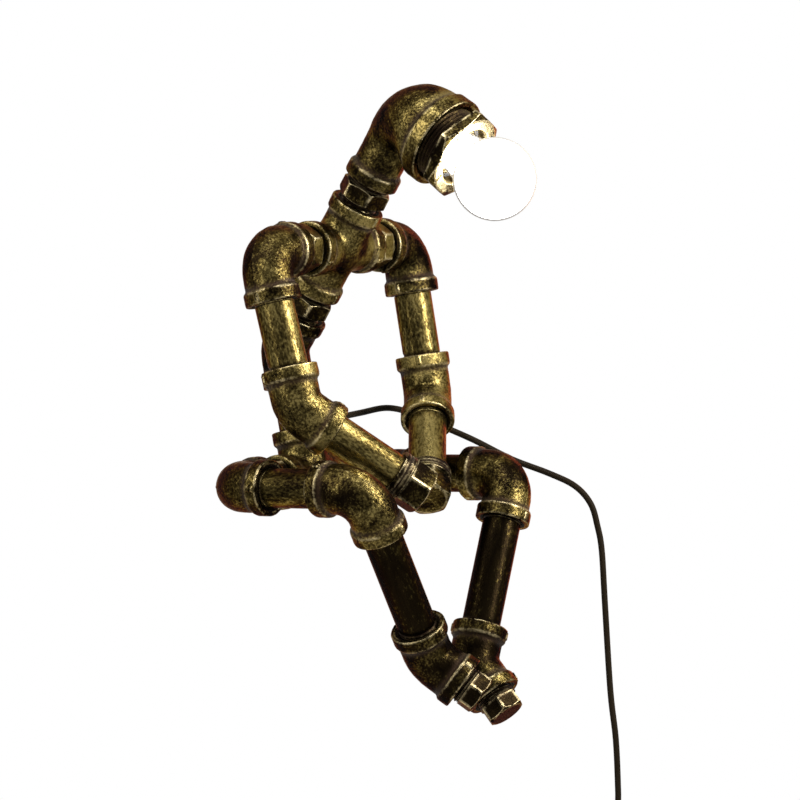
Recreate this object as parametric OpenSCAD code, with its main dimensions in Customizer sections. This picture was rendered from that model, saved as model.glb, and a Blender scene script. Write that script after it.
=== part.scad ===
// Desk lamp in the shape of a sitting robot, screwed together from half-inch pipe and cast
// malleable fittings. The robot faces -Y, its left side is +X, and Z = 0 is the surface it sits on.

/* [Pipe and fittings] */
// Outside diameter of the pipe
pipe_od = 21.3; // [20.5:0.1:22]
// Bore of the pipe
pipe_bore = 15.8; // [14:0.1:16.5]
// Outside diameter of a fitting's banded end
band_od = 30.5; // [29.5:0.1:32]
// Length of the band on a fitting's end
band_len = 7; // [5:0.1:7.5]
// Outside diameter of a fitting between its bands
body_od = 27.2; // [25.8:0.1:28]
// Waterway through a fitting
waterway_d = 16.2; // [14:0.1:17]
// Centre to end of a 90 degree elbow, a tee or a cross
reach_90 = 28.5; // [27.5:0.1:32]
// Centre to end of a 45 degree elbow
reach_45 = 22.4; // [21.5:0.1:26]
// Radius of the waterway's centre line in a fitting's bend
bend_r = 14; // [12:0.1:14.5]
// Radius of the centre line of a bend's outside
shell_bend_r = 16.5; // [14:0.1:18]
// Radius of a countersunk mouth at a fitting's face
mouth_r = 12.9; // [11.5:0.1:13.4]
// Depth of a countersunk mouth
mouth_deep = 2.6; // [1:0.1:3]
// How far a pipe screws into a fitting
engaged = 13; // [11:0.1:13.2]
// Radial clearance of a screwed joint that can turn
thread_fit = 0.05; // [0.02:0.01:0.08]
// Rounding on the edges of a band
band_edge = 1; // [0.4:0.1:1.6]
// Width of the parting rib on a casting
rib_w = 2.4; // [1.4:0.1:3.4]
// How far the parting rib stands above the band
rib_up = 0.7; // [0.3:0.1:1.2]

/* [Hexagon nipples] */
// Length of nipple seen between two fittings
nipple_gap = 15; // [12:0.5:20]
// Hexagon across its flats
nipple_hex_af = 25; // [22.2:0.1:26]
// Length of the hexagon
nipple_hex_len = 10; // [6:0.1:11.5]

/* [Spine and head] */
// Pelvis centre to waist elbow centre
lower_spine = 75.5; // [70:0.5:95]
// How far the lower spine leans back
lean_back = 12; // [8:0.5:16]
// Turn of the shoulders on the spine
chest_turn = 3; // [-4:0.5:6]
// Turn of the head on the neck
head_turn = -2.5; // [-10:0.5:10]
// Neck face of the head elbow to its centre
head_neck_reach = 43.5; // [40:0.5:50]
// Rim face of the head elbow to its centre
head_rim_reach = 32; // [31:0.5:38]
// Outside diameter of the rim
head_rim_od = 52; // [50:0.5:56]
// Length of the rim band
head_rim_len = 9; // [5:0.5:9]
// Diameter of the head's shell behind the rim
head_shell_od = 48.6; // [47.6:0.2:49.8]
// Radius of the centre line in the head's bend
head_bend_r = 20; // [18:0.5:21]

/* [Lamp] */
// Bushing's hexagon across its flats
bushing_hex_af = 46; // [44:0.5:50]
// Length of the bushing's hexagon
bushing_hex_len = 6.5; // [6:0.5:10]
// Turn of the bushing's hexagon in the head's mouth
bushing_turn = 38; // [0:1:60]
// Gap between the head's rim and the bushing's hexagon
bushing_gap = 7.5; // [4:0.5:8]
// Outside diameter of the bushing's thread
bushing_thread_d = 41.9; // [40.8:0.1:42.4]
// Length of the bushing's thread behind the hexagon
bushing_thread_len = 20.5; // [16:0.5:22]
// Diameter of the bulb's globe
globe_d = 45; // [40:1:50]
// Globe centre beyond the bushing's hexagon
globe_out = 22; // [17:0.5:26]
// Diameter of the bulb's screw base
base_d = 26.3; // [25.8:0.1:26.6]
// Length of the bulb's screw base
base_len = 22; // [20:0.5:26]
// Wall of the bulb's glass
glass_wall = 0.9; // [0.6:0.1:1.5]
// Wall of the brass shell in the lamp holder
holder_shell_wall = 0.9; // [0.6:0.1:1.1]
// Wall of the lamp holder's sleeve
holder_wall = 2; // [1.6:0.1:2.1]

/* [Arms] */
// Shoulder centre to arm elbow centre
upper_arm = 86.5; // [80:0.5:110]
// Arm elbow centre to the hand
forearm = 62; // [55:0.5:80]
// Right arm swung forward from plumb
right_arm_forward = 14; // [10:0.5:30]
// Left arm swung forward from plumb
left_arm_forward = 9; // [5:0.5:30]
// Right forearm turned inward
right_forearm_in = 51; // [45:1:70]
// Left forearm turned inward
left_forearm_in = 67.5; // [50:0.5:80]

/* [Hands and feet] */
// Outside diameter of a hand cap's rings
hand_ring_od = 27; // [26:0.1:29]
// Length of the ringed part of a hand cap
hand_ring_len = 7; // [5:0.5:9]
// Hand cap's hexagon across its flats
hand_hex_af = 24; // [23.5:0.1:26]
// Length of the hand cap's hexagon
hand_hex_len = 14; // [11:0.5:18]
// Foot plug's hexagon across its flats
plug_hex_af = 20; // [18:0.5:22]
// Length of the foot plug's hexagon
plug_hex_len = 9; // [7:0.5:12]
// Thread of the foot plug seen below the fitting
plug_thread_seen = 3; // [1:0.5:5]

/* [Legs] */
// Hip centre to knee centre
thigh = 89; // [85:0.5:110]
// Knee centre to ankle centre
shin = 112; // [100:0.5:125]
// Right thigh raised from level
right_thigh_lift = 1; // [0:0.5:5]
// Left thigh raised from level
left_thigh_lift = 1.5; // [0:0.5:5]
// Right shin turned inward at the knee
right_shin_in = 32; // [10:0.5:33]
// Left shin turned inward at the knee
left_shin_in = 23.5; // [5:0.5:25]
// Right foot turned on its shin
right_foot_turn = 0; // [-5:1:20]
// Left foot turned on its shin
left_foot_turn = -25; // [-50:1:-15]

/* [Cord] */
// Diameter of the mains cord
cord_d = 3.6; // [3.2:0.1:4.4]
// Height of the cord outlet on the lower spine
outlet_up = 33.5; // [33.5:0.5:40]
// Length of the tapered relief outside the pipe
relief_len = 22; // [20:1:28]
// Diameter of the outlet bush's flange
outlet_bush_d = 8.6; // [7.5:0.1:10]
// Diameter of the coil at the middle of its turns
coil_d = 40; // [36:1:44]
// Thickness of the coil's bundle
coil_bundle_d = 14.4; // [12:0.2:16]

/* [Cord switch] */
// Length of the switch housing
switch_len = 58; // [50:1:70]
// Width of the switch housing
switch_w = 23; // [20:0.5:28]
// Thickness of the switch housing
switch_t = 17; // [15:0.5:20]
// Length of the rocker
rocker_len = 19; // [16:0.5:22]
// Width of the rocker
rocker_w = 10; // [8:0.5:12]
// Tilt of the rocker at rest
rocker_tilt = 8; // [4:1:10]

/* [Mains plug] */
// Length of the plug's body
plug_len = 30; // [26:1:36]
// Width of the plug's body
plug_w = 26; // [24:0.5:30]
// Thickness of the plug's body
plug_t = 16; // [14:0.5:18]
// Length of a blade outside the body
blade_len = 17; // [15:0.5:19]

/* [Hidden] */

RIGHT = -1;
LEFT = 1;
$fn = 48;

// Small clearances, and a length that cuts right through the head
seat_gap = 0.3;
bushing_fit = 0.1;
lap = 0.5;
step = 0.1;
bend_more = 3;
cut_through = 60;

// Pipe and fittings
pipe_r = pipe_od / 2;
band_r = band_od / 2;
body_r = body_od / 2;
way_r = waterway_d / 2;
socket_r = pipe_r + thread_fit;
socket_deep = engaged + 0.4;
band_taper = 1.4;
pipe_chamfer = 0.8;

// Frames of the body
sit_up = band_r;
waist_bend = 45;
lean = waist_bend - lean_back;
upper_spine = reach_45 + nipple_gap + reach_90;
spine_hex_turn = 10;
neck_hex_turn = 16;
half_span = reach_90 + nipple_gap + reach_90;
neck = reach_90 + nipple_gap + head_neck_reach;

// Head and lamp, measured out from the head's centre along its mouth
hex_back = head_rim_reach + bushing_gap;
hex_front = hex_back + bushing_hex_len;
bushing_back = hex_back - bushing_thread_len;
globe_at = hex_front + globe_out;
globe_r = globe_d / 2;
base_r = base_d / 2;
base_front = hex_front - 4.5;
base_back = base_front - base_len;
shell_in_r = base_r + thread_fit;
shell_out_r = shell_in_r + holder_shell_wall;
holder_in_r = shell_out_r + 0.05;
holder_r = holder_in_r + holder_wall;
holder_front = hex_front - 6.5;
holder_floor = 3;
tip_len = 3;
contact_up = 2.4;
holder_back = base_back - tip_len - contact_up - holder_floor;
flange_r = bushing_thread_d / 2 - 2.2;
flange_len = bushing_back - seat_gap - holder_back;
head_cavity_r = flange_r + seat_gap;
head_socket_r = bushing_thread_d / 2 + bushing_fit;
throat_wall = 1.6;
tip_r = 5.5;

// Cord switch
switch_wall = 2;
pin_r = 1.2;
pin_at = switch_t / 2 - 3.4;
screw_at = switch_len / 2 - 15.5;
screw_r = 1.2;
screw_head_r = 2.4;
screw_head_len = 1.6;

// Cord: points of the route, from the outlet to the switch, then from the switch to the coil
cord_r = cord_d / 2;
outlet_at = [0, outlet_up * sin(lean_back), sit_up + outlet_up * cos(lean_back)];
switch_top = -178;
coil_out_r = (coil_d + coil_bundle_d) / 2;
coil_mid = switch_top - switch_len - coil_out_r - 6;
coil_aside = coil_d / 2 + 4.7;
coil_meet = sqrt(coil_out_r * coil_out_r - coil_aside * coil_aside);
plug_top = coil_mid - coil_out_r - 4;
plug_relief_len = 20;
cord_hold = 10;
coil_dip = 1.5;
hang_at = [140, -117];
cord_route = [
    [pipe_r + relief_len - 2, outlet_at[1], outlet_at[2]], [45, 8, 48.5], [62, 7, 50], [83, 4, 52],
    [98, -2, 49], [110, -13, 42], [119, -32, 33], [126, -54, 22], [132, -76, 14], [136, -91, 7],
    [138.5, -100, -3], [139.5, -104, -16], [140, -106.5, -30], [140, -108.5, -60], [140, -112, -110],
    [140, -115.6, -138], [hang_at[0], hang_at[1], switch_top + 12], [hang_at[0], hang_at[1], switch_top + 3],
    [hang_at[0], hang_at[1], switch_top - cord_hold]
];
front_turn = -50;

// ---------- helpers ----------

// A point of a Catmull-Rom curve between b and c, u from 0 to 1
function smooth(a, b, c, d, u) =
    0.5 * (2 * b + (c - a) * u + (2 * a - 5 * b + 4 * c - d) * u * u
    + (3 * b - a - 3 * c + d) * u * u * u);

// The route's points with n extra points in each span
function fine(route, n) = [
    for (i = [0 : len(route) - 2], k = [0 : n - 1])
        smooth(route[max(i - 1, 0)], route[i], route[i + 1], route[min(i + 2, len(route) - 1)], k / n),
    route[len(route) - 1]
];

function unit(v) = v / norm(v);

// Directions along a route and across it
function along(p, i) = unit(p[min(i + 1, len(p) - 1)] - p[max(i - 1, 0)]);
function across(t) = unit(cross(t, abs(t[1]) < 0.9 ? [0, 1, 0] : [1, 0, 0]));

// A tube swept along points, closed at both ends
module tube_along(points, r, sides) {
    last = len(points) - 1;
    rings = [
        for (i = [0 : last])
            let (t = along(points, i), a = across(t), b = cross(a, t))
                for (k = [0 : sides - 1])
                    points[i] + r * (cos(k * 360 / sides) * a + sin(k * 360 / sides) * b)
    ];
    walls = [
        for (i = [0 : last - 1], k = [0 : sides - 1])
            [i * sides + k, i * sides + (k + 1) % sides,
             (i + 1) * sides + (k + 1) % sides, (i + 1) * sides + k]
    ];
    start = [[for (k = [0 : sides - 1]) sides - 1 - k]];
    end = [[for (k = [0 : sides - 1]) last * sides + k]];
    polyhedron(points = rings, faces = concat(walls, start, end));
}

// Rectangle with round corners, centred
module round_rect(w, h, r) {
    square([w - 2 * r, h], center = true);
    square([w, h - 2 * r], center = true);
    for (x = [-1, 1], y = [-1, 1]) translate([x * (w / 2 - r), y * (h / 2 - r)]) circle(r);
}

// Cylinder along +Z with a chamfer on both ends
module chamfered_rod(len, r, chamfer) {
    rotate_extrude() polygon([
        [0, 0], [r - chamfer, 0], [r, chamfer], [r, len - chamfer], [r - chamfer, len], [0, len]
    ]);
}

// Hexagonal prism along +Z, with its corners turned down at one or both ends
module turned_hex(af, len, both = true) {
    corner = af / sqrt(3);
    cut = 0.8;
    drop = (corner - af / 2 + cut) * tan(30);
    foot = both ? drop : 0;
    intersection() {
        cylinder(h = len, r = corner, $fn = 6);
        rotate_extrude() polygon([
            [0, 0], [both ? af / 2 - cut : corner + 1, 0], [corner, foot], [corner + 1, foot],
            [corner + 1, len - drop], [corner, len - drop], [af / 2 - cut, len], [0, len]
        ]);
    }
}

// ---------- cast fittings: each port lies along +Z from the fitting's centre ----------

// Outside of one port: from its banded end back to `from`, with body radius r
module port_outside(reach, from, r) {
    translate([0, 0, reach]) mirror([0, 0, 1]) rotate_extrude() polygon([
        [0, 0], [band_r - band_edge, 0], [band_r - 0.3 * band_edge, 0.3 * band_edge],
        [band_r, band_edge], [band_r, band_len - band_edge],
        [band_r - 0.3 * band_edge, band_len - 0.3 * band_edge],
        [r + 0.3 * band_taper, band_len + 0.6 * band_taper], [r, band_len + 1.4 * band_taper],
        [r, reach - from], [0, reach - from]
    ]);
}

// Two ribs across a port's band, on its X sides
module port_ribs(reach) {
    for (side = [-1, 1]) {
        translate([side * (band_r + rib_up / 2 - 1), 0, reach - band_len / 2]) {
            cube([rib_up + 2, rib_w, band_len - 2 * band_edge - 0.5], center = true);
        }
    }
}

// Socket for a pipe end and the waterway of radius r behind it
module port_bore(reach, from, r) {
    translate([0, 0, reach]) mirror([0, 0, 1]) rotate_extrude() polygon([
        [0, -1], [mouth_r, -1], [mouth_r, 0], [socket_r, mouth_deep], [socket_r, socket_deep],
        [r, socket_deep + 1], [r, reach - from], [0, reach - from]
    ]);
}

// Part of a ring of round section that leaves the origin's -Z leg and turns towards +X,
// and runs on by the angle `more` at both ends
module bend(r, turn, radius = bend_r, more = bend_more) {
    back = radius * tan(turn / 2);
    translate([radius, 0, -back]) rotate([90, 0, 0]) rotate([0, 0, 180 - turn - more]) {
        rotate_extrude(angle = turn + 2 * more) translate([radius, 0]) circle(r);
    }
}

// Elbow with one port along -Z and one turned from +Z towards +X
module elbow(reach, turn) {
    from = bend_r * tan(turn / 2);
    shell_from = shell_bend_r * tan(turn / 2);
    difference() {
        union() {
            bend(body_r, turn, shell_bend_r);
            rotate([180, 0, 0]) port_outside(reach, shell_from, body_r + step);
            rotate([0, turn, 0]) port_outside(reach, shell_from, body_r + step);
            rotate([180, 0, 0]) port_ribs(reach);
            rotate([0, turn, 0]) port_ribs(reach);
        }
        bend(way_r, turn);
        rotate([180, 0, 0]) port_bore(reach, from, way_r + step);
        rotate([0, turn, 0]) port_bore(reach, from, way_r + step);
    }
}

// Tee or cross: ports turned about Y by the listed angles
module branched(reach, angles) {
    difference() {
        union() for (a = angles) rotate([0, a, 0]) {
            port_outside(reach, 0, body_r);
            rotate([0, 0, 90]) port_ribs(reach);
        }
        for (a = angles) rotate([0, a, 0]) port_bore(reach, 0, way_r);
    }
}

// Pipe between two fittings whose centres lie `span` apart along +Z
module pipe_between(span, reach_a, reach_b) {
    length = span - reach_a - reach_b + 2 * engaged;
    translate([0, 0, reach_a - engaged]) difference() {
        chamfered_rod(length, pipe_r, pipe_chamfer);
        translate([0, 0, -1]) cylinder(h = length + 2, d = pipe_bore);
    }
}

// Hexagon nipple along +Z that starts at a fitting's face, with its hexagon turned
module hex_nipple(hex_turn = 0) {
    length = nipple_gap + 2 * engaged;
    difference() {
        union() {
            translate([0, 0, -engaged]) chamfered_rod(length, pipe_r, pipe_chamfer);
            translate([0, 0, (nipple_gap - nipple_hex_len) / 2]) {
                rotate([0, 0, 30 + hex_turn]) turned_hex(nipple_hex_af, nipple_hex_len);
            }
        }
        translate([0, 0, -engaged - 1]) cylinder(h = length + 2, d = pipe_bore - 1);
    }
}

// ---------- frames ----------

module pelvis_frame() { translate([0, 0, sit_up]) children(); }
module spine_frame() { pelvis_frame() rotate([-lean_back, 0, 0]) children(); }
module waist_frame() { spine_frame() translate([0, 0, lower_spine]) children(); }
module torso_frame() { waist_frame() rotate([waist_bend, 0, 0]) rotate([0, 0, chest_turn]) children(); }
module chest_frame() { torso_frame() translate([0, 0, upper_spine]) children(); }
module head_frame() { chest_frame() translate([0, 0, neck]) rotate([0, 0, head_turn]) children(); }
// +Z along the mouth of the head
module mouth_frame() { head_frame() rotate([90, 0, 0]) children(); }

// +Z down the arm, +Y forward
module arm_frame(side) {
    forward = side == RIGHT ? right_arm_forward : left_arm_forward;
    chest_frame() translate([side * half_span, 0, 0]) rotate([180 - forward - lean, 0, 0]) children();
}
// +Z down the arm at its elbow, +Y towards the forearm's side
module arm_elbow_frame(side) {
    inward = side == RIGHT ? right_forearm_in : left_forearm_in;
    arm_frame(side) translate([0, 0, upper_arm]) rotate([0, 0, side * inward]) children();
}
module forearm_frame(side) { arm_elbow_frame(side) rotate([-45, 0, 0]) children(); }

// +Z along the thigh, +Y up
module leg_frame(side) {
    lift = side == RIGHT ? right_thigh_lift : left_thigh_lift;
    pelvis_frame() translate([side * half_span, 0, 0]) rotate([90 - lift, 0, 0]) children();
}
module knee_frame(side) {
    inward = side == RIGHT ? right_shin_in : left_shin_in;
    leg_frame(side) translate([0, 0, thigh]) rotate([0, 0, -side * inward]) children();
}
// +Z down the shin, +Y along the thigh
module shin_frame(side) { knee_frame(side) rotate([90, 0, 0]) children(); }
module ankle_frame(side) {
    turn = side == RIGHT ? right_foot_turn : left_foot_turn;
    shin_frame(side) translate([0, 0, shin]) rotate([0, 0, turn]) children();
}
module foot_frame(side) { ankle_frame(side) rotate([-45, 0, 0]) children(); }

// ---------- spine ----------

module pelvis_tee() {
    color("#6b5c3a") spine_frame() branched(reach_90, [90, -90, 0]);
}

// Lower spine, with the hole that the cord leaves through
module waist_pipe() {
    color("#75653f") difference() {
        spine_frame() pipe_between(lower_spine, reach_90, reach_45);
        translate(outlet_at) rotate([0, 90, 0]) cylinder(h = pipe_od, d = outlet_bush_d - 2);
    }
}

module waist_elbow() {
    color("#6b5c3a") waist_frame() rotate([0, 0, -90]) elbow(reach_45, waist_bend);
}

module spine_nipple() {
    color("#5d5034") torso_frame() translate([0, 0, reach_45]) hex_nipple(spine_hex_turn);
}

module chest_cross() {
    color("#6b5c3a") chest_frame() branched(reach_90, [0, 90, 180, 270]);
}

module neck_nipple() {
    color("#5d5034") chest_frame() translate([0, 0, reach_90]) hex_nipple(neck_hex_turn);
}

module shoulder_nipple(side) {
    color("#5d5034") chest_frame() rotate([0, side * 90, 0]) translate([0, 0, reach_90]) hex_nipple();
}

module hip_nipple(side) {
    color("#5d5034") pelvis_frame() rotate([0, side * 90, 0]) translate([0, 0, reach_90]) hex_nipple();
}

// ---------- head ----------

// Radius of the head's shell along its bend, u from 0 at the neck to 1 at the rim
function head_r(u) = body_r + (head_shell_od / 2 - body_r) * (0.5 - 0.5 * cos(180 * pow(u, 0.8)));

// Swept shell of the head's bend, solid
module head_bend() {
    rings = 22;
    sides = 40;
    points = [
        for (i = [0 : rings])
            let (
                turn = 90 * i / rings,
                mid = [0, -head_bend_r + head_bend_r * cos(turn), -head_bend_r + head_bend_r * sin(turn)],
                r = head_r(i / rings),
                out = [0, cos(turn), sin(turn)]
            )
                for (k = [0 : sides - 1])
                    mid + r * (cos(k * 360 / sides) * out + sin(k * 360 / sides) * [1, 0, 0])
    ];
    walls = [
        for (i = [0 : rings - 1], k = [0 : sides - 1])
            [i * sides + k, i * sides + (k + 1) % sides,
             (i + 1) * sides + (k + 1) % sides, (i + 1) * sides + k]
    ];
    start = [[for (k = [0 : sides - 1]) sides - 1 - k]];
    end = [[for (k = [0 : sides - 1]) rings * sides + k]];
    polyhedron(points = points, faces = concat(walls, start, end));
}

// Bend, neck port and rim, with the rim carried back as the wall of the throat under the lamp holder
module head_elbow() {
    shell_r = head_shell_od / 2;
    rim_r = head_rim_od / 2;
    color("#6b5c3a") head_frame() difference() {
        union() {
            head_bend();
            rotate([180, 0, 0]) port_outside(head_neck_reach, head_bend_r - lap, body_r + step);
            rotate([180, 0, 90]) port_ribs(head_neck_reach);
            rotate([90, 0, 0]) translate([0, 0, head_rim_reach]) mirror([0, 0, 1]) rotate_extrude() polygon([
                [0, 0], [rim_r - band_edge, 0], [rim_r - 0.3 * band_edge, 0.3 * band_edge],
                [rim_r, band_edge], [rim_r, head_rim_len - band_edge],
                [rim_r - 0.3 * band_edge, head_rim_len - 0.3 * band_edge],
                [shell_r + step, head_rim_len + band_taper],
                [shell_r + step, head_rim_reach - head_bend_r + lap],
                [head_socket_r + throat_wall, head_rim_reach - bushing_back + 2.5],
                [head_cavity_r + throat_wall, head_rim_reach - bushing_back + 5],
                [head_cavity_r + throat_wall, head_rim_reach - holder_back],
                [0, head_rim_reach - holder_back]
            ]);
        }
        rotate([180, 0, 0]) port_bore(head_neck_reach, 0, way_r);
        rotate([90, 0, 0]) cylinder(h = holder_back, r = way_r);
        sphere(way_r);
        rotate([90, 0, 0]) translate([0, 0, holder_back - 2]) cylinder(h = cut_through, r = head_cavity_r);
        rotate([90, 0, 0]) translate([0, 0, bushing_back - 1]) cylinder(h = cut_through, r = head_socket_r);
    }
}

module head_bushing() {
    color("#75653f") mouth_frame() difference() {
        union() {
            translate([0, 0, bushing_back]) {
                chamfered_rod(bushing_thread_len + 1, bushing_thread_d / 2, pipe_chamfer);
            }
            translate([0, 0, hex_back]) rotate([0, 0, bushing_turn]) {
                turned_hex(bushing_hex_af, bushing_hex_len, false);
            }
        }
        translate([0, 0, bushing_back - 1]) cylinder(h = cut_through, r = holder_r + seat_gap);
    }
}

// Moulded sleeve with a flange behind the bushing and a closed back
module lamp_socket() {
    color("#202020") mouth_frame() difference() {
        union() {
            translate([0, 0, holder_back]) cylinder(h = holder_front - holder_back, r = holder_r);
            translate([0, 0, holder_back]) cylinder(h = flange_len, r = flange_r);
        }
        translate([0, 0, holder_back + holder_floor]) cylinder(h = cut_through, r = holder_in_r);
        translate([0, 0, holder_back - 1]) cylinder(h = 6, r = cord_r + seat_gap);
    }
}

module socket_shell() {
    color("#b08d3c") mouth_frame() difference() {
        translate([0, 0, holder_back + holder_floor]) {
            cylinder(h = holder_front - holder_back - holder_floor - 1, r = shell_out_r);
        }
        translate([0, 0, holder_back + holder_floor + holder_shell_wall]) {
            cylinder(h = cut_through, r = shell_in_r);
        }
        translate([0, 0, holder_back]) cylinder(h = 6, r = tip_r + 1.5);
    }
}

// Sprung contact under the bulb's tip
module socket_contact() {
    color("#c8a04a") mouth_frame() translate([0, 0, holder_back + holder_floor]) {
        cylinder(h = 0.8, r = tip_r);
        translate([0, 0, 0.4]) cylinder(h = contact_up - 0.4, r = 1.6);
    }
}

// Glass of the bulb: globe that runs into a neck
module bulb_glass() {
    neck_r = base_r - 1.2;
    meet = 38;
    meet_r = globe_r * sin(meet);
    meet_z = globe_at - globe_r * cos(meet);
    module envelope(cut) {
        translate([0, globe_at]) circle(globe_r - cut, $fn = 96);
        polygon([
            [0, base_front - 6 + cut], [neck_r - cut, base_front - 6 + cut], [neck_r - cut, base_front + 1],
            [meet_r - cut * sin(meet), meet_z + cut * cos(meet)], [0, globe_at]
        ]);
    }
    color("#f4efe2") mouth_frame() rotate_extrude() intersection() {
        translate([0, base_back]) square([globe_d, base_len + 4 * globe_d]);
        difference() {
            envelope(0);
            envelope(glass_wall);
        }
    }
}

module bulb_base() {
    color("#b9b2a0") mouth_frame() difference() {
        translate([0, 0, base_back]) chamfered_rod(base_len, base_r, 1.2);
        translate([0, 0, base_back + 1]) cylinder(h = base_len, r = base_r - 1.2 + 0.05);
        translate([0, 0, base_back - 1]) cylinder(h = 6, r = tip_r);
    }
}

// Black insulator with the centre contact
module bulb_tip() {
    color("#1c1c1c") mouth_frame() translate([0, 0, base_back + 1]) rotate([180, 0, 0]) {
        cylinder(h = 1 + tip_len - 1.2, r = tip_r - 0.02);
        cylinder(h = 1 + tip_len, r = tip_r - 2);
    }
}

// ---------- arms ----------

// Elbow that takes a port on the body's side and turns it to +Z
module side_elbow(side) {
    if (side == RIGHT) rotate([0, -90, 0]) elbow(reach_90, 90);
    else mirror([1, 0, 0]) rotate([0, -90, 0]) elbow(reach_90, 90);
}

module shoulder_elbow(side) { color("#6b5c3a") arm_frame(side) side_elbow(side); }

module upper_arm_pipe(side) { color("#75653f") arm_frame(side) pipe_between(upper_arm, reach_90, reach_45); }

module arm_elbow(side) {
    color("#6b5c3a") arm_elbow_frame(side) rotate([0, 0, 90]) elbow(reach_45, 45);
}

module forearm_pipe(side) {
    length = forearm - reach_45 + engaged + hand_ring_len + 4;
    color("#75653f") forearm_frame(side) translate([0, 0, reach_45 - engaged]) difference() {
        chamfered_rod(length, pipe_r, pipe_chamfer);
        translate([0, 0, -1]) cylinder(h = length + 2, d = pipe_bore);
    }
}

// Hexagon cap with two rings at its mouth
module hand_cap(side) {
    ring_r = hand_ring_od / 2;
    groove = 0.7;
    color("#5d5034") forearm_frame(side) translate([0, 0, forearm]) difference() {
        union() {
            rotate_extrude() polygon([
                [0, 0], [ring_r - 0.6, 0], [ring_r, 0.6], [ring_r, hand_ring_len / 2 - groove],
                [ring_r - groove, hand_ring_len / 2], [ring_r, hand_ring_len / 2 + groove],
                [ring_r, hand_ring_len - 0.6], [ring_r - 0.6, hand_ring_len], [0, hand_ring_len]
            ]);
            translate([0, 0, hand_ring_len]) {
                turned_hex(hand_hex_af, hand_hex_len, false);
            }
        }
        translate([0, 0, -1]) cylinder(h = hand_ring_len + 1 + 4.4, r = socket_r);
    }
}

// ---------- legs ----------

module hip_elbow(side) { color("#6b5c3a") leg_frame(side) side_elbow(side); }

module thigh_pipe(side) { color("#75653f") leg_frame(side) pipe_between(thigh, reach_90, reach_90); }

module knee_elbow(side) { color("#6b5c3a") knee_frame(side) rotate([0, 0, -90]) elbow(reach_90, 90); }

module shin_pipe(side) { color("#75653f") shin_frame(side) pipe_between(shin, reach_90, reach_45); }

module ankle_elbow(side) { color("#6b5c3a") ankle_frame(side) rotate([0, 0, 90]) elbow(reach_45, 45); }

module foot_plug(side) {
    color("#5d5034") foot_frame(side) translate([0, 0, reach_45 - engaged]) difference() {
        union() {
            chamfered_rod(engaged + plug_thread_seen + 1, pipe_r, pipe_chamfer);
            translate([0, 0, engaged + plug_thread_seen]) turned_hex(plug_hex_af, plug_hex_len, false);
        }
        translate([0, 0, -1]) cylinder(h = engaged, d = pipe_bore - 3);
    }
}

// ---------- wiring inside the pipes ----------

// From the outlet up the spine to the top of the neck
module spine_lead() {
    waist_back = bend_r * tan(waist_bend / 2);
    color("#2a2019") {
        translate(outlet_at) rotate([0, 90, 0]) cylinder(h = pipe_r + relief_len - 2, r = cord_r);
        translate(outlet_at) sphere(cord_r);
        spine_frame() translate([0, 0, outlet_up]) {
            cylinder(h = lower_spine - outlet_up - waist_back, r = cord_r + step);
        }
        waist_frame() rotate([0, 0, -90]) bend(cord_r, waist_bend);
        torso_frame() translate([0, 0, waist_back]) {
            cylinder(h = upper_spine + reach_90 + nipple_gap + engaged - waist_back, r = cord_r + step);
        }
    }
}

// From the neck round to the back of the lamp holder
module head_lead() {
    turn_r = holder_back + holder_floor - step;
    start = neck - reach_90 - nipple_gap - engaged - seat_gap;
    color("#2a2019") head_frame() {
        rotate([0, 0, -90]) bend(cord_r, 90, turn_r, 0);
        translate([0, 0, -start]) cylinder(h = start - turn_r + lap, r = cord_r + step);
    }
}

// ---------- cord, switch and plug ----------

// Bush with a tapered relief that guards the cord at the pipe
module cord_outlet() {
    color("#1d1a17") translate(outlet_at) rotate([0, 90, 0]) difference() {
        union() {
            translate([0, 0, pipe_r - 2.2]) cylinder(h = 3, d = outlet_bush_d - 2.2);
            translate([0, 0, pipe_r + 0.1]) cylinder(h = 2, d = outlet_bush_d);
            translate([0, 0, pipe_r + 2]) {
                cylinder(h = relief_len - 2, d1 = outlet_bush_d - 1, d2 = cord_d + 1.4);
            }
        }
        cylinder(h = 3 * pipe_od, r = cord_r + thread_fit);
    }
}

module cord() { color("#2a2019") tube_along(fine(cord_route, 4), cord_r, 8); }

// From the switch into the side of the coil
module cord_lower() {
    top = switch_top - switch_len + cord_hold;
    bottom = coil_mid + coil_meet - coil_dip;
    color("#2a2019") translate([hang_at[0], hang_at[1], bottom]) cylinder(h = top - bottom, r = cord_r);
}

// Outline of the switch housing, seen from its front: a tapered nose at each end
module switch_outline() {
    w = switch_w / 2;
    l = switch_len / 2;
    polygon([
        [4, l], [5.5, l - 1.5], [w - 2, l - 9], [w, l - 12],
        [w, 12 - l], [w - 2, 9 - l], [5.5, 1.5 - l], [4, -l],
        [-4, -l], [-5.5, 1.5 - l], [2 - w, 9 - l], [-w, 12 - l],
        [-w, l - 12], [2 - w, l - 9], [-5.5, l - 1.5], [-4, l]
    ]);
}

// Frame of the switch: +Y up along the cord, +Z out of its front
module switch_frame() {
    translate([hang_at[0], hang_at[1], switch_top - switch_len / 2]) rotate([0, 0, front_turn]) {
        rotate([90, 0, 0]) children();
    }
}

// One half of the housing, from the split at Z = 0 up to its wall
module switch_half() {
    deep = switch_t / 2;
    difference() {
        linear_extrude(height = deep) switch_outline();
        translate([0, 0, -1]) linear_extrude(height = deep + 1 - switch_wall) {
            square([switch_w - 2 * switch_wall, switch_len - 26], center = true);
        }
        rotate([90, 0, 0]) cylinder(h = switch_len + 2, r = cord_r + thread_fit, center = true);
    }
}

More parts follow.
